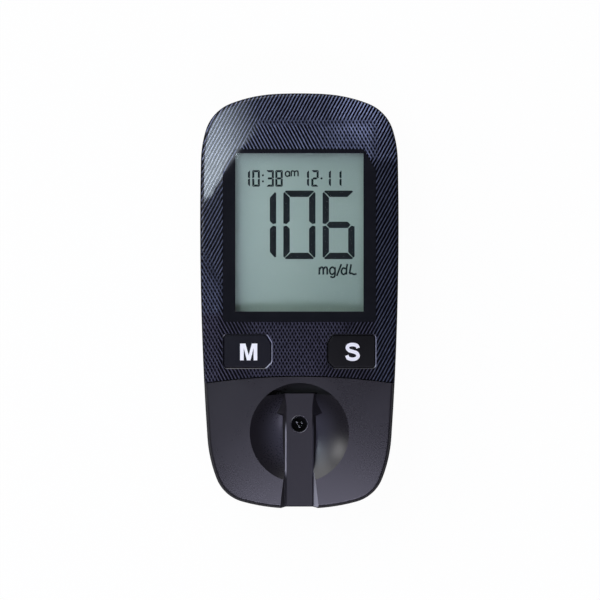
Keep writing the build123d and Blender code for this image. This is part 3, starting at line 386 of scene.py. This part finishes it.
def front_panel():
    """Dark foil with fine light ribs under a clear gloss coat; its sides are plain and matt."""
    graph = Graph("front_panel", Coat_Roughness=0.04, Coat_IOR=1.5, Specular_IOR_Level=0.05)
    x, y, _ = graph.place()
    up = graph.facing()[2]
    ribs = graph.times(panel_ribs(graph, x, y), graph.ramp(up, *RIB_SIDE))
    worn = graph.noise(1.2, 3.0, 0.7)
    patch = graph.noise(0.09, 2.0)
    shine = graph.times(ribs, graph.ramp(worn, 0.25, 0.75, 0.5, 1.0))

    ground = graph.blend(patch, srgb(1, 1, 4), srgb(4, 5, 12))
    ground = graph.blend(graph.ramp(up, *PLAIN_SIDE_FACING), ground, srgb(17, 18, 24))
    ridge = graph.blend(patch, srgb(70, 75, 95), srgb(92, 98, 120))
    greyer = graph.blend(patch, srgb(60, 60, 76), srgb(80, 79, 97))
    by_keys = graph.times(graph.ramp(y, *GREY_TOP), graph.ramp(x, *GREY_RIGHT))
    # The ribs' tone carries painted light and shade.
    ridge = graph.scaled(graph.blend(by_keys, ridge, greyer), painted_panel_light(graph, x, y))
    graph.set(Base_Color=graph.blend(shine, ground, ridge))

    on_front = graph.ramp(up, *FRONT_FACING)
    graph.set(Roughness=graph.ramp(on_front, 0.0, 1.0, SIDE_ROUGHNESS, FRONT_ROUGHNESS))
    graph.set(Coat_Weight=graph.times(on_front, graph.ramp(ribs, 0.0, 1.0, 0.5, 1.0)))
    graph.bump(graph.add(ribs, graph.times(worn, 0.15)), RIB_DEPTH)
    return graph


def clear_plastic(name, tint):
    graph = Graph(name, Base_Color=tint, Transmission_Weight=1.0, IOR=1.49, Roughness=0.02)
    graph.clear_to_lamps(tint)
    return graph


# Opening of the lens over the display: half width, bottom and top, and how soft its edge is.
OPENING_SIDE = 15.02
OPENING_BOTTOM = -2.52
OPENING_TOP = 34.57
OPENING_SOFT = 0.02
CORNER_LEAN = (0.873, 0.488)
CORNER_START = (29.55, 29.85)
LENS_TINT = (0.97, 0.98, 0.98)


def lens_panel():
    """Lens that is clear over the display and glossy black round it, with one ribbed corner."""
    graph = Graph("lens_panel", IOR=1.32, Roughness=0.03)
    x, y, _ = graph.place()
    slash, _ = rib_families(graph, x, y)
    wide = graph.ramp(graph.size(x), OPENING_SIDE + OPENING_SOFT, OPENING_SIDE)
    tall = graph.times(
        graph.ramp(y, OPENING_BOTTOM - OPENING_SOFT, OPENING_BOTTOM),
        graph.ramp(y, OPENING_TOP + OPENING_SOFT, OPENING_TOP),
    )
    opening = graph.times(wide, tall)
    lean = graph.subtract(graph.times(y, CORNER_LEAN[1]), graph.times(x, CORNER_LEAN[0]))
    corner = graph.times(slash, graph.ramp(lean, *CORNER_START))
    black = graph.blend(graph.noise(0.3, 2.0), srgb(20, 21, 26), srgb(27, 28, 33))
    black = graph.blend(corner, black, srgb(98, 104, 128))
    graph.set(Base_Color=graph.blend(opening, black, LENS_TINT), Transmission_Weight=opening)
    graph.clear_to_lamps(LENS_TINT, opening)
    return graph


# Where painted shade darkens the display along x and y: from, to, and how much at each.
DISPLAY_FALL_X = (-12.0, 15.0, 0.0, 0.6)
DISPLAY_FALL_Y = (16.0, -2.5, 0.0, 0.4)


def display_film():
    """Grey-green reflective display behind its polariser, with painted shade darker to the right and
    below.
    """
    graph = Graph("display_film", Roughness=0.38, Specular_IOR_Level=0.35)
    x, y, _ = graph.place()
    fine = graph.noise(5.0, 2.0, 0.6)
    away = graph.add(graph.ramp(x, *DISPLAY_FALL_X), graph.ramp(y, *DISPLAY_FALL_Y))
    tone = graph.blend(away, srgb(131, 147, 136), srgb(104, 121, 110))
    graph.set(Base_Color=graph.blend(graph.times(fine, 0.06), tone, srgb(88, 101, 99)))
    graph.bump(fine, 0.002)
    return graph


# ---------------------------------------------------------------- materials of the CAD nodes

shell_black = plastic(
    "rear_shell_black", srgb(23, 23, 26), srgb(32, 32, 36), 0.55, depth=0.012, level=0.25, side=0.7
)
print_black = plastic("print_black", srgb(6, 7, 10), srgb(11, 12, 15), 0.6, depth=0.002, level=0.06)
key_navy = plastic("key_navy", srgb(10, 10, 19), srgb(16, 16, 26), 0.36, depth=0.004, level=0.2)
key_black = plastic("key_black", srgb(8, 8, 9), srgb(13, 13, 14), 0.36, depth=0.004, level=0.2)
optics_black = plastic("optics_black", srgb(9, 9, 11), srgb(16, 16, 18), 0.3, depth=0.002)
foam_black = plastic("foam_black", srgb(20, 20, 21), srgb(38, 38, 40), 0.9, grain=4.0, depth=0.05)
holder_ivory = plastic("holder_ivory", srgb(186, 186, 180), srgb(205, 205, 198), 0.5)
rubber_grey = plastic("rubber_grey", srgb(60, 60, 62), srgb(80, 80, 82), 0.8)
board_green = plastic("board_green", srgb(20, 70, 45), srgb(30, 90, 58), 0.4)
chip_dark = plastic("chip_dark", srgb(22, 22, 24), srgb(34, 34, 37), 0.55)
label_silver = plastic("label_silver", srgb(150, 152, 156), srgb(172, 174, 178), 0.42, depth=0.002)
steel = plastic("plated_steel", srgb(170, 170, 172), srgb(195, 195, 198), 0.3, depth=0.003)
screw_metal = plastic("screw_metal", srgb(90, 90, 94), srgb(120, 120, 125), 0.34, depth=0.004)
for metal in (steel, screw_metal):
    metal.set(Metallic=1.0)

paint(front_panel(), "front_case")
paint(shell_black, "rear_case", "battery_door")
paint(cover_plastic("cover_grey", 0.29, 0.5, 0.9), "window_cover")
paint(cover_plastic("guide_grey", 0.34, 0.25, 0.0), "strip_guide")
paint(key_navy, "key_m")
paint(key_black, "key_s")
paint(lens_panel(), "display_lens")
paint(print_black, "display_border")
paint(foam_black, "display_gasket", "light_seal")
paint(display_film(), "lcd_front_film", "lcd_rear_film")
paint(clear_plastic("lcd_glass", (0.9, 0.95, 0.93)), "lcd_panel")
paint(holder_ivory, "lcd_holder")
paint(rubber_grey, "zebra_strip_upper", "zebra_strip_lower")
paint(board_green, "circuit_board")
paint(chip_dark, "board_chips", "buzzer", "key_switches", "usb_blade")
paint(steel, "usb_socket", "switch_dome_m", "switch_dome_s", "negative_contact", "positive_contact")
paint(steel, "coin_cell")
paint(optics_black, "optics_block", "light_emitter", "light_sensor")
paint(clear_plastic("pane_clear", (0.55, 0.57, 0.6)), "measuring_window")
paint(screw_metal, "case_screws")
paint(label_silver, "rear_label")

# Materials of the pieces added below.
segment_ink = plastic(
    "segment_ink", srgb(10, 15, 17), srgb(17, 23, 25), 0.5, depth=0.001, level=0.1
)
legend_white = plastic("legend_white", srgb(244, 244, 248), srgb(252, 252, 255), 0.4, depth=0.002)
ring_polish = plastic(
    "ring_polish", srgb(40, 39, 47), srgb(48, 47, 56), 0.2, depth=0.0005, level=1.0
)
rim_black = rim_plastic()
bead_black = plastic("bead_black", srgb(8, 8, 10), srgb(14, 14, 17), 0.12, depth=0.0005, level=1.0)


# ---------------------------------------------------------------- pieces


def add_piece(name, vertices, faces, graph, body, smooth=False):
    """Piece of the given vertices, in millimetres, that rides on body."""
    mesh = bpy.data.meshes.new(name)
    mesh.from_pydata([(x * MM, y * MM, z * MM) for x, y, z in vertices], [], faces)
    if smooth:
        mesh.shade_smooth()
    mesh.materials.append(graph.material)
    piece = bpy.data.objects.new(name, mesh)
    bpy.context.scene.collection.objects.link(piece)
    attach(piece, body)


def circle(radius, turns):
    """Points round a circle about the origin."""
    steps = [2 * math.pi * turn / turns for turn in range(turns)]
    return [(radius * math.cos(angle), radius * math.sin(angle)) for angle in steps]


def on_front(outline, rise):
    """Points of an outline at rise above the front surface."""
    return [(x, y, front_height(x, y) + rise) for x, y in outline]


def area(outline):
    following = outline[1:] + outline[:1]
    return sum(a[0] * b[1] - b[0] * a[1] for a, b in zip(outline, following))


def marks(name, outlines, height, thickness, graph, body):
    """Thin solid marks from flat outlines, with their tops at height(x, y)."""
    vertices, faces = [], []
    for outline in outlines:
        if area(outline) < 0:
            outline = outline[::-1]
        base, count = len(vertices), len(outline)
        for drop in (0.0, thickness):
            vertices += [(x, y, height(x, y) - drop) for x, y in outline]
        faces.append([base + i for i in range(count)])
        faces.append([base + count + i for i in reversed(range(count))])
        for i in range(count):
            j = (i + 1) % count
            faces.append([base + j, base + i, base + count + i, base + count + j])
    add_piece(name, vertices, faces, graph, body)


# The drawings of the figures and letters are in units of the 600-unit frame of the front view.
UNITS_PER_MM = 4.25
FRAME_MIDDLE = (299.4, 300.7)


def px(x, y):
    """Millimetres on the front for a place in the 600-unit frame."""
    return ((x - FRAME_MIDDLE[0]) / UNITS_PER_MM, (FRAME_MIDDLE[1] - y) / UNITS_PER_MM)


NIP = 0.28  # how far a segment's cut corner reaches, in segment widths
NIP_FALL = 0.4  # of that, how far the shallow side of the corner falls


def bar_outline(left, right, edge, inward, thick, gap):
    """The top bar, a, for inward 1, or the bottom bar, d, for -1, with cut outer corners."""
    nip = thick * NIP
    corner, fall = gap + nip * NIP_FALL, edge + inward * nip * (1 - NIP_FALL)
    inner = edge + inward * thick
    return [
        (left + corner, fall), (left + gap + nip, edge),
        (right - gap - nip, edge), (right - corner, fall),
        (right - thick - gap, inner), (left + thick + gap, inner),
    ]


def side_outline(outer, inner, end, middle, thick, gap):
    """An upright from the figure's end, its top or bottom, to its middle bar."""
    nip = thick * NIP
    away = 1 if middle > end else -1
    return [
        (outer, end + away * (gap + nip)),
        (outer + (inner - outer) * 0.2, end + away * (gap + nip * NIP_FALL)),
        (inner, end + away * (thick + gap)), (inner, middle - away * (thick / 2 + gap * 0.8)),
        ((outer + inner) / 2, middle - away * gap),
        (outer, middle - away * (gap + nip * NIP_FALL)),
    ]


def segments(left, right, top, bottom, thick, gap, shown):
    """Outlines of the shown segments, a to g, of one seven-segment figure."""
    middle, half = (top + bottom) / 2, thick / 2
    near_left, near_right = left + thick + gap * 0.6, right - thick - gap * 0.6
    outlines = dict(
        a=bar_outline(left, right, top, 1, thick, gap),
        d=bar_outline(left, right, bottom, -1, thick, gap),
        g=[
            (left + half + gap, middle), (near_left, middle - half), (near_right, middle - half),
            (right - half - gap, middle), (near_right, middle + half), (near_left, middle + half),
        ],
        f=side_outline(left, left + thick, top, middle, thick, gap),
        b=side_outline(right, right - thick, top, middle, thick, gap),
        e=side_outline(left, left + thick, bottom, middle, thick, gap),
        c=side_outline(right, right - thick, bottom, middle, thick, gap),
    )
    return [[px(x, y) for x, y in outlines[name]] for name in shown]


FIGURES = {
    "0": "abcdef", "1": "bc", "2": "abged", "3": "abgcd", "6": "afgedc", "8": "abcdefg", "-": "g",
}


def ribbon(points, width, steps=8):
    """Outlines of a stroke of the given width through smooth control points."""
    smooth = []
    ends = [points[0], *points, points[-1]]
    for p0, p1, p2, p3 in zip(ends, ends[1:], ends[2:], ends[3:]):
        for i in range(steps):
            t = i / steps
            smooth.append(tuple(
                0.5 * (2 * b + (c - a) * t + (2 * a - 5 * b + 4 * c - d) * t * t
                       + (3 * b - a - 3 * c + d) * t**3)
                for a, b, c, d in zip(p0, p1, p2, p3)
            ))
    smooth.append(points[-1])
    left, right = [], []
    for i, (x, y) in enumerate(smooth):
        ahead = smooth[min(i + 1, len(smooth) - 1)]
        behind = smooth[max(i - 1, 0)]
        dx, dy = ahead[0] - behind[0], ahead[1] - behind[1]
        long = math.hypot(dx, dy) or 1.0
        nx, ny = -dy / long * width / 2, dx / long * width / 2
        left.append((x + nx, y + ny))
        right.append((x - nx, y - ny))
    return [[left[i], left[i + 1], right[i + 1], right[i]] for i in range(len(left) - 1)]


# ---------------------------------------------------------------- figures on the display

INK_HEIGHT = 0.02
INK_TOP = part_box("lcd_front_film")[1].z / MM + INK_HEIGHT

# Top, bottom, thickness and gap of the big and of the small figures' segments, in frame units.
BIG = dict(top=190.8, bottom=259.2, thick=6.4, gap=0.75)
SMALL = dict(top=170.4, bottom=186.9, thick=2.1, gap=0.2)
READING = (
    ("reading_hundreds", "1", 244.3, 276.3),
    ("reading_tens", "0", 283.4, 315.4),
    ("reading_units", "6", 322.5, 354.4),
)
TIME = (("1", 243.0, 250.2), ("0", 252.4, 260.0), ("3", 266.3, 274.0), ("8", 275.4, 282.8))
DATE = (
    ("1", 301.8, 309.0), ("2", 311.3, 318.6), ("-", 318.9, 324.0), ("1", 323.6, 330.8),
    ("1", 334.2, 341.4),
)
COLON_X, COLON_Y, COLON_HALF = (262.2, 263.9), (175.6, 181.6), 0.9
AM_WIDTH = 0.32
AM_STROKES = (
    ((289.2, 172.5), (287.3, 171.5), (285.6, 173.2), (285.6, 175.2), (287.3, 176.7), (289.2, 175.5)),
    ((289.6, 171.5), (289.6, 176.9)),
    ((291.3, 176.6), (291.5, 171.7), (293.0, 171.3), (294.4, 172.2), (294.5, 176.6)),
    ((294.5, 172.2), (296.2, 171.3), (297.9, 171.8), (298.1, 176.6)),
)
UNIT_WIDTH = 0.42
UNIT_STROKES = (
    ((319.2, 274.6), (319.4, 267.4)),
    ((319.4, 269.6), (321.2, 267.3), (323.0, 268.4), (323.2, 274.6)),
    ((323.2, 269.6), (325.0, 267.3), (327.0, 268.4), (327.1, 274.6)),
    ((334.6, 268.6), (332.2, 267.2), (329.9, 269.2), (329.9, 272.6), (332.0, 274.4), (334.4, 272.8)),
    ((334.9, 267.3), (334.7, 275.6), (332.6, 277.4), (330.2, 276.4)),
    ((336.6, 276.0), (341.2, 264.2)),
    ((345.6, 269.0), (343.4, 268.0), (341.5, 270.0), (341.5, 272.8), (343.4, 274.5), (345.7, 273.0)),
    ((347.2, 264.0), (346.4, 268.4), (346.2, 274.6)),
    ((351.0, 264.3), (349.3, 273.6)),
    ((349.3, 273.6), (351.4, 273.4), (353.8, 274.4), (356.4, 273.8)),
)


def ink(name, outlines):
    """Marks of the display, printed on its front film."""
    marks(name, outlines, lambda x, y: INK_TOP, INK_HEIGHT, segment_ink, "case")


def small_figures(row):
    outlines = []
    for figure, left, right in row:
        outlines += segments(left, right, shown=FIGURES[figure], **SMALL)
    return outlines


def strokes(paths, width):
    outlines = []
    for path in paths:
        outlines += ribbon([px(*point) for point in path], width)
    return outlines


def display_marks():
    """The result in three big figures, the small time and date above it, and its unit."""
    for name, figure, left, right in READING:
        ink(name, segments(left, right, shown=FIGURES[figure], **BIG))
    colon = [
        [px(COLON_X[0], y - COLON_HALF), px(COLON_X[1], y - COLON_HALF),
         px(COLON_X[1], y + COLON_HALF), px(COLON_X[0], y + COLON_HALF)]
        for y in COLON_Y
    ]
    ink("clock_time", small_figures(TIME) + colon)
    ink("clock_date", small_figures(DATE))
    ink("clock_am", strokes(AM_STROKES, AM_WIDTH))
    ink("unit_legend", strokes(UNIT_STROKES, UNIT_WIDTH))


# ---------------------------------------------------------------- keys

KEY_RECESS = 0.35
LEGEND_PROUD = 0.02

# The letter M, in frame units: its box, and the stem width.
M_LEFT, M_RIGHT, M_TOP, M_BOTTOM = 240.2, 257.4, 343.4, 360.2
M_CENTRE, M_STEM = 248.8, 3.7
M_SHOULDER = 5.4  # from the outside to where a slanting stroke leaves the top
M_VEE = 11.6  # from the top to where the slanting strokes meet
M_CROTCH = 4.6  # from the top to where a slanting stroke leaves its stem
M_FOOT = 1.8  # half the width of the point between the stems
S_SPINE = (
    (357.9, 348.0), (356.5, 345.4), (352.5, 344.4), (348.5, 345.3), (347.2, 347.7),
    (348.9, 350.2), (352.5, 351.4), (356.3, 352.8), (357.9, 355.6), (356.2, 358.2),
    (352.3, 359.1), (348.2, 358.1), (346.7, 355.2),
)
S_WIDTH, S_STEPS = 0.84, 6


def legend(name, outlines, body):
    def top(x, y):
        return front_height(x, y) - KEY_RECESS + LEGEND_PROUD
    marks(name, outlines, top, LEGEND_PROUD * 2, legend_white, body)


def key_legends():
    """The white letters moulded into the two keys."""
    outlines = []
    for outer, side in ((M_LEFT, 1), (M_RIGHT, -1)):
        inner = outer + side * M_STEM
        outlines.append([(outer, M_BOTTOM), (outer, M_TOP), (inner, M_TOP), (inner, M_BOTTOM)])
        slant = [
            (inner, M_TOP), (outer + side * M_SHOULDER, M_TOP), (M_CENTRE, M_TOP + M_VEE),
            (M_CENTRE, M_BOTTOM), (M_CENTRE - side * M_FOOT, M_BOTTOM), (inner, M_TOP + M_CROTCH),
        ]
        # Both slanting strokes run the same way round from their first corner.
        outlines.append([slant[side * i] for i in range(len(slant))])
    legend("legend_m", [[px(*point) for point in outline] for outline in outlines], "key_m")
    legend("legend_s", ribbon([px(*point) for point in S_SPINE], S_WIDTH, S_STEPS), "key_s")


# Outline of a key: its inner and outer side from the centre line, its low and top edge, how much
# its two inner corners are cut, and the radius of all corners.
KEY_SIDES = (6.6, 17.8)
KEY_ENDS = (-15.75, -8.0)
TOP_CUT = (1.2, 2.0)
LOW_CUT = (1.5, 1.5)
CORNER_RADIUS = 0.9
CORNER_STEPS = 6
KEY_GAP = 0.25
RIM_OUT, RIM_IN = 0.01, 0.17  # of the chamfer, from the opening's edge
RIM_RISE, RIM_DROP = 0.01, 0.08  # of its outer edge over the front, and of its inner one under it


def key_outline(side, grow):
    """Outline of a key opening with rounded corners; grow is from the key's edge."""
    inner, outer = KEY_SIDES[0] - grow, KEY_SIDES[1] + grow
    low, top = KEY_ENDS[0] - grow, KEY_ENDS[1] + grow
    corners = [Vector(corner) for corner in (
        (inner + TOP_CUT[0], top), (inner, top - TOP_CUT[1]),
        (inner, low + LOW_CUT[1]), (inner + LOW_CUT[0], low),
        (outer, low), (outer, top),
    )]
    radius = CORNER_RADIUS + grow / 2
    points = []
    for before, here, after in zip([corners[-1], *corners], corners, [*corners[1:], corners[0]]):
        back, ahead = (before - here).normalized(), (after - here).normalized()
        half = back.angle(ahead) / 2
        centre = here + (back + ahead).normalized() * radius / math.sin(half)
        first = here + back * radius / math.tan(half) - centre
        last = here + ahead * radius / math.tan(half) - centre
        start = math.atan2(first.y, first.x)
        sweep = math.atan2(last.y, last.x) - start
        sweep = (sweep + math.pi) % (2 * math.pi) - math.pi
        for step in range(CORNER_STEPS + 1):
            turn = start + sweep * step / CORNER_STEPS
            points.append(
                (centre.x + radius * math.cos(turn), centre.y + radius * math.sin(turn))
            )
    return [(side * x, y) for x, y in points]


def key_rims():
    """Narrow closed chamfer round each key opening."""
    for name, side in (("key_rim_m", -1), ("key_rim_s", 1)):
        outer = key_outline(side, KEY_GAP + RIM_OUT)
        inner = key_outline(side, KEY_GAP - RIM_IN)
        vertices = on_front(outer, RIM_RISE) + on_front(inner, -RIM_DROP)
        vertices += on_front(outer, -3 * RIM_DROP)
        # Known fault: on the left side, -1, the faces look inward.
        faces = ring_faces(len(outer), 3)
        add_piece(name, vertices, faces, rim_black, "case")


def ring_faces(count, rows):
    """Faces of a closed ring whose rows of count points follow each other round its section."""
    faces = []
    for row in range(rows):
        this, following = row * count, (row + 1) % rows * count
        for i in range(count):
            j = (i + 1) % count
            faces.append([this + i, this + j, following + j, following + i])
    return faces


# ---------------------------------------------------------------- the eye of the strip guide

# Place of each bead from the window's centre, and its radius.
BEADS = ((-0.55, 0.5, 0.5), (0.6, 0.35, 0.42), (0.0, -0.6, 0.5))
BEAD_RINGS, BEAD_TURNS = 5, 20
BEAD_RISE = 0.5  # height of a bead, in radii
BEAD_SUNK = 0.02
EYE = (0.0, -29.0, 15.704)
EYE_FALL = math.tan(math.radians(6.7))
EYE_TURNS = 48
EYE_SECTION = ((2.12, 0.012), (1.76, -0.09), (2.12, -0.14))  # radius, and height over the ridge


def beads():
    """Small clear lenses on the measuring window."""
    low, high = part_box("measuring_window")
    middle = (low + high) / (2 * MM)
    base_z = high.z / MM - BEAD_SUNK
    vertices, faces = [], []
    for dx, dy, radius in BEADS:
        base = len(vertices)
        for ring in range(BEAD_RINGS):
            tilt = math.pi / 2 * ring / BEAD_RINGS
            rise = BEAD_RISE * radius * math.sin(tilt)
            vertices += [
                (middle.x + dx + x, middle.y + dy + y, base_z + rise)
                for x, y in circle(radius * math.cos(tilt), BEAD_TURNS)
            ]
        vertices.append((middle.x + dx, middle.y + dy, base_z + BEAD_RISE * radius))
        for ring in range(BEAD_RINGS - 1):
            for turn in range(BEAD_TURNS):
                a = base + ring * BEAD_TURNS + turn
                b = base + ring * BEAD_TURNS + (turn + 1) % BEAD_TURNS
                faces.append([a, b, b + BEAD_TURNS, a + BEAD_TURNS])
        last, tip = base + (BEAD_RINGS - 1) * BEAD_TURNS, base + BEAD_RINGS * BEAD_TURNS
        for turn in range(BEAD_TURNS):
            faces.append([last + turn, last + (turn + 1) % BEAD_TURNS, tip])
        faces.append([base + turn for turn in reversed(range(BEAD_TURNS))])
    add_piece("window_beads", vertices, faces, bead_black, "case", smooth=True)


def eye_ring():
    """Polished bevel round the eye, in the sloping top of the ridge."""
    vertices = []
    for radius, lift in EYE_SECTION:
        vertices += [
            (EYE[0] + x, EYE[1] + y, EYE[2] + y * EYE_FALL + lift)
            for x, y in circle(radius, EYE_TURNS)
        ]
    # Known faults: turned over like this the faces look inward, and the ring rides on the casing,
    # though the ridge that it trims lifts with the cover.
    faces = [face[:1] + face[:0:-1] for face in ring_faces(EYE_TURNS, len(EYE_SECTION))]
    add_piece("eye_ring", vertices, faces, ring_polish, "case", smooth=True)


display_marks()
key_legends()
key_rims()
beads()
eye_ring()


# ---------------------------------------------------------------- studio, in metres

FLOOR_REACH = 12.0
FLOOR_LEVEL = -0.0001
FLOOR_WHITE = 0.97  # share of plain white in what is seen of the floor; the rest is lit

# Sky: where it is bright, the cosines from there at which that begins and is full, and its light.
BRIGHT_SIDE = (-0.5, 0.866, 0.0)
BRIGHT_START, BRIGHT_FULL = 0.38, 0.75
DARK_LIGHT, BRIGHT_LIGHT = 0.03, 1.3


def floor():
    """Pale floor that shows plain white but keeps the meter's shadow."""
    graph = Graph("floor_white", Base_Color=(0.9, 0.9, 0.9), Roughness=0.9, Specular_IOR_Level=0.1)
    path = graph.node("ShaderNodeLightPath").outputs
    mirrored = graph.most(path["Is Glossy Ray"], path["Is Transmission Ray"])
    seen = graph.most(path["Is Camera Ray"], mirrored)
    white = graph.node("ShaderNodeEmission", Strength=1.0)
    graph.mix_surface(graph.times(seen, FLOOR_WHITE), white)
    mesh = bpy.data.meshes.new("floor")
    corners = ((-1, -1), (1, -1), (1, 1), (-1, 1))
    mesh.from_pydata(
        [(x * FLOOR_REACH, y * FLOOR_REACH, FLOOR_LEVEL) for x, y in corners], [], [(0, 1, 2, 3)]
    )
    mesh.materials.append(graph.material)
    piece = bpy.data.objects.new("floor", mesh)
    bpy.context.scene.collection.objects.link(piece)


def sky():
    """Dark ceiling and right, bright upper left: daylight from one side, the same for every ray."""
    world = bpy.data.worlds.new("studio")
    bpy.context.scene.world = world
    world.use_nodes = True
    tree = world.node_tree
    background = tree.nodes["Background"]
    towards = tree.nodes.new("ShaderNodeVectorMath")
    towards.operation = "DOT_PRODUCT"
    join(tree, towards.inputs[0], tree.nodes.new("ShaderNodeTexCoord").outputs["Generated"])
    join(tree, towards.inputs[1], BRIGHT_SIDE)
    strength = smooth_step(
        tree, towards.outputs["Value"], BRIGHT_START, BRIGHT_FULL, DARK_LIGHT, BRIGHT_LIGHT
    )
    join(tree, background.inputs["Strength"], strength)
    join(tree, background.inputs["Color"], (1.0, 1.0, 1.0))


def softbox(name, place, turn, size, radiance, colour=(1.0, 1.0, 1.0), profile=()):
    """Rectangular lamp that the camera doesn't see.

    profile is how its brightness changes, as steps of (axis, from, to, low, high) that multiply.
    Axis 0 runs along its width and 1 along its height, each from 0 to 1.
    """
    lamp = bpy.data.lights.new(name, "AREA")
    lamp.shape = "RECTANGLE"
    lamp.size, lamp.size_y = size
    lamp.energy = radiance * size[0] * size[1] * math.pi
    lamp.color = colour
    piece = bpy.data.objects.new(name, lamp)
    bpy.context.scene.collection.objects.link(piece)
    piece.location = place
    piece.rotation_euler = turn
    piece.visible_camera = False
    if not profile:
        return
    lamp.use_nodes = True
    tree = lamp.node_tree
    split = tree.nodes.new("ShaderNodeSeparateXYZ")
    join(tree, split.inputs[0], tree.nodes.new("ShaderNodeNewGeometry").outputs["Parametric"])
    strength = 1.0
    for axis, *step in profile:
        product = tree.nodes.new("ShaderNodeMath")
        product.operation = "MULTIPLY"
        join(tree, product.inputs[0], strength)
        join(tree, product.inputs[1], smooth_step(tree, split.outputs[axis], *step))
        strength = product.outputs[0]
    join(tree, tree.nodes["Emission"].inputs["Strength"], strength)


def facing_meter(place, across):
    """Turn of a lamp at place that faces the meter and whose width runs along across."""
    away = Vector(place).normalized()
    side = Vector(across).normalized()
    side = (side - away * side.dot(away)).normalized()
    return Matrix((side, away.cross(side), away)).transposed().to_euler()


# The main lamp's inner edge lies flat, where the front mirrors it as a slanting boundary. The lamp
# is set out from a point of that edge, and back along it.
MAIN_EDGE = Vector((0.845, 0.535, 0.0)).normalized()
MAIN_OUTWARD = Vector((-MAIN_EDGE.y, MAIN_EDGE.x, 0.0))
MAIN_INNER = Vector((-0.1165, 0.105, 0.6))
MAIN_SET_OUT, MAIN_SET_BACK = 0.008, 0.05
MAIN_SIZE = (0.42, 0.5)
MAIN_PROFILE = (
    (1, 0.0, 0.006, 0.0, 1.0), (1, 0.03, 0.2, 1.0, 0.45), (1, 0.2, 0.6, 1.0, 0.4),
    (0, 0.0, 0.35, 0.0, 1.0), (0, 0.45, 0.75, 1.0, 0.0),
)


def lamps():
    """The main lamp upper left, a soft one below for the cover, and two for the edges."""
    reach = MAIN_SET_OUT + MAIN_SIZE[1] / 2
    softbox("key_softbox", MAIN_INNER + MAIN_OUTWARD * reach - MAIN_EDGE * MAIN_SET_BACK,
            (0.0, 0.0, math.atan2(MAIN_EDGE.y, MAIN_EDGE.x)), MAIN_SIZE, 14.2,
            (0.78, 0.89, 1.0), MAIN_PROFILE)
    softbox("low_softbox", (0.05, -0.325, 0.6), (0.0, 0.0, math.pi), (0.46, 0.22), 9.9,
            (0.78, 0.76, 1.0), ((1, 0.0, 0.4, 0.0, 1.0),))
    for name, place, across, size, radiance in (
        ("left_strip", (-0.80, 0.16, 0.50), (0.0, 0.0, 1.0), (0.22, 0.3), 6.0),
        ("side_softbox", (-0.42, 0.73, 0.53), (0.87, 0.5, 0.0), (0.6, 0.5), 1.9),
    ):
        softbox(name, place, facing_meter(place, across), size, radiance)


CAMERA_PLACE = (0.000141, 0.000165, 2.012)
CAMERA_DISTANCE = 2.0  # from the plane whose width fills the view
VIEW_WIDTH = 0.14118
SENSOR = 36.0


def camera():
    """Camera straight over the meter, far enough away to show it almost without perspective."""
    data = bpy.data.cameras.new("camera")
    data.sensor_width = SENSOR
    data.lens = SENSOR * CAMERA_DISTANCE / VIEW_WIDTH
    data.clip_start, data.clip_end = 0.01, 50.0
    piece = bpy.data.objects.new("camera", data)
    bpy.context.scene.collection.objects.link(piece)
    piece.location = CAMERA_PLACE
    bpy.context.scene.camera = piece


floor()
sky()
camera()
lamps()

bpy.context.scene.view_settings.view_transform = "Standard"
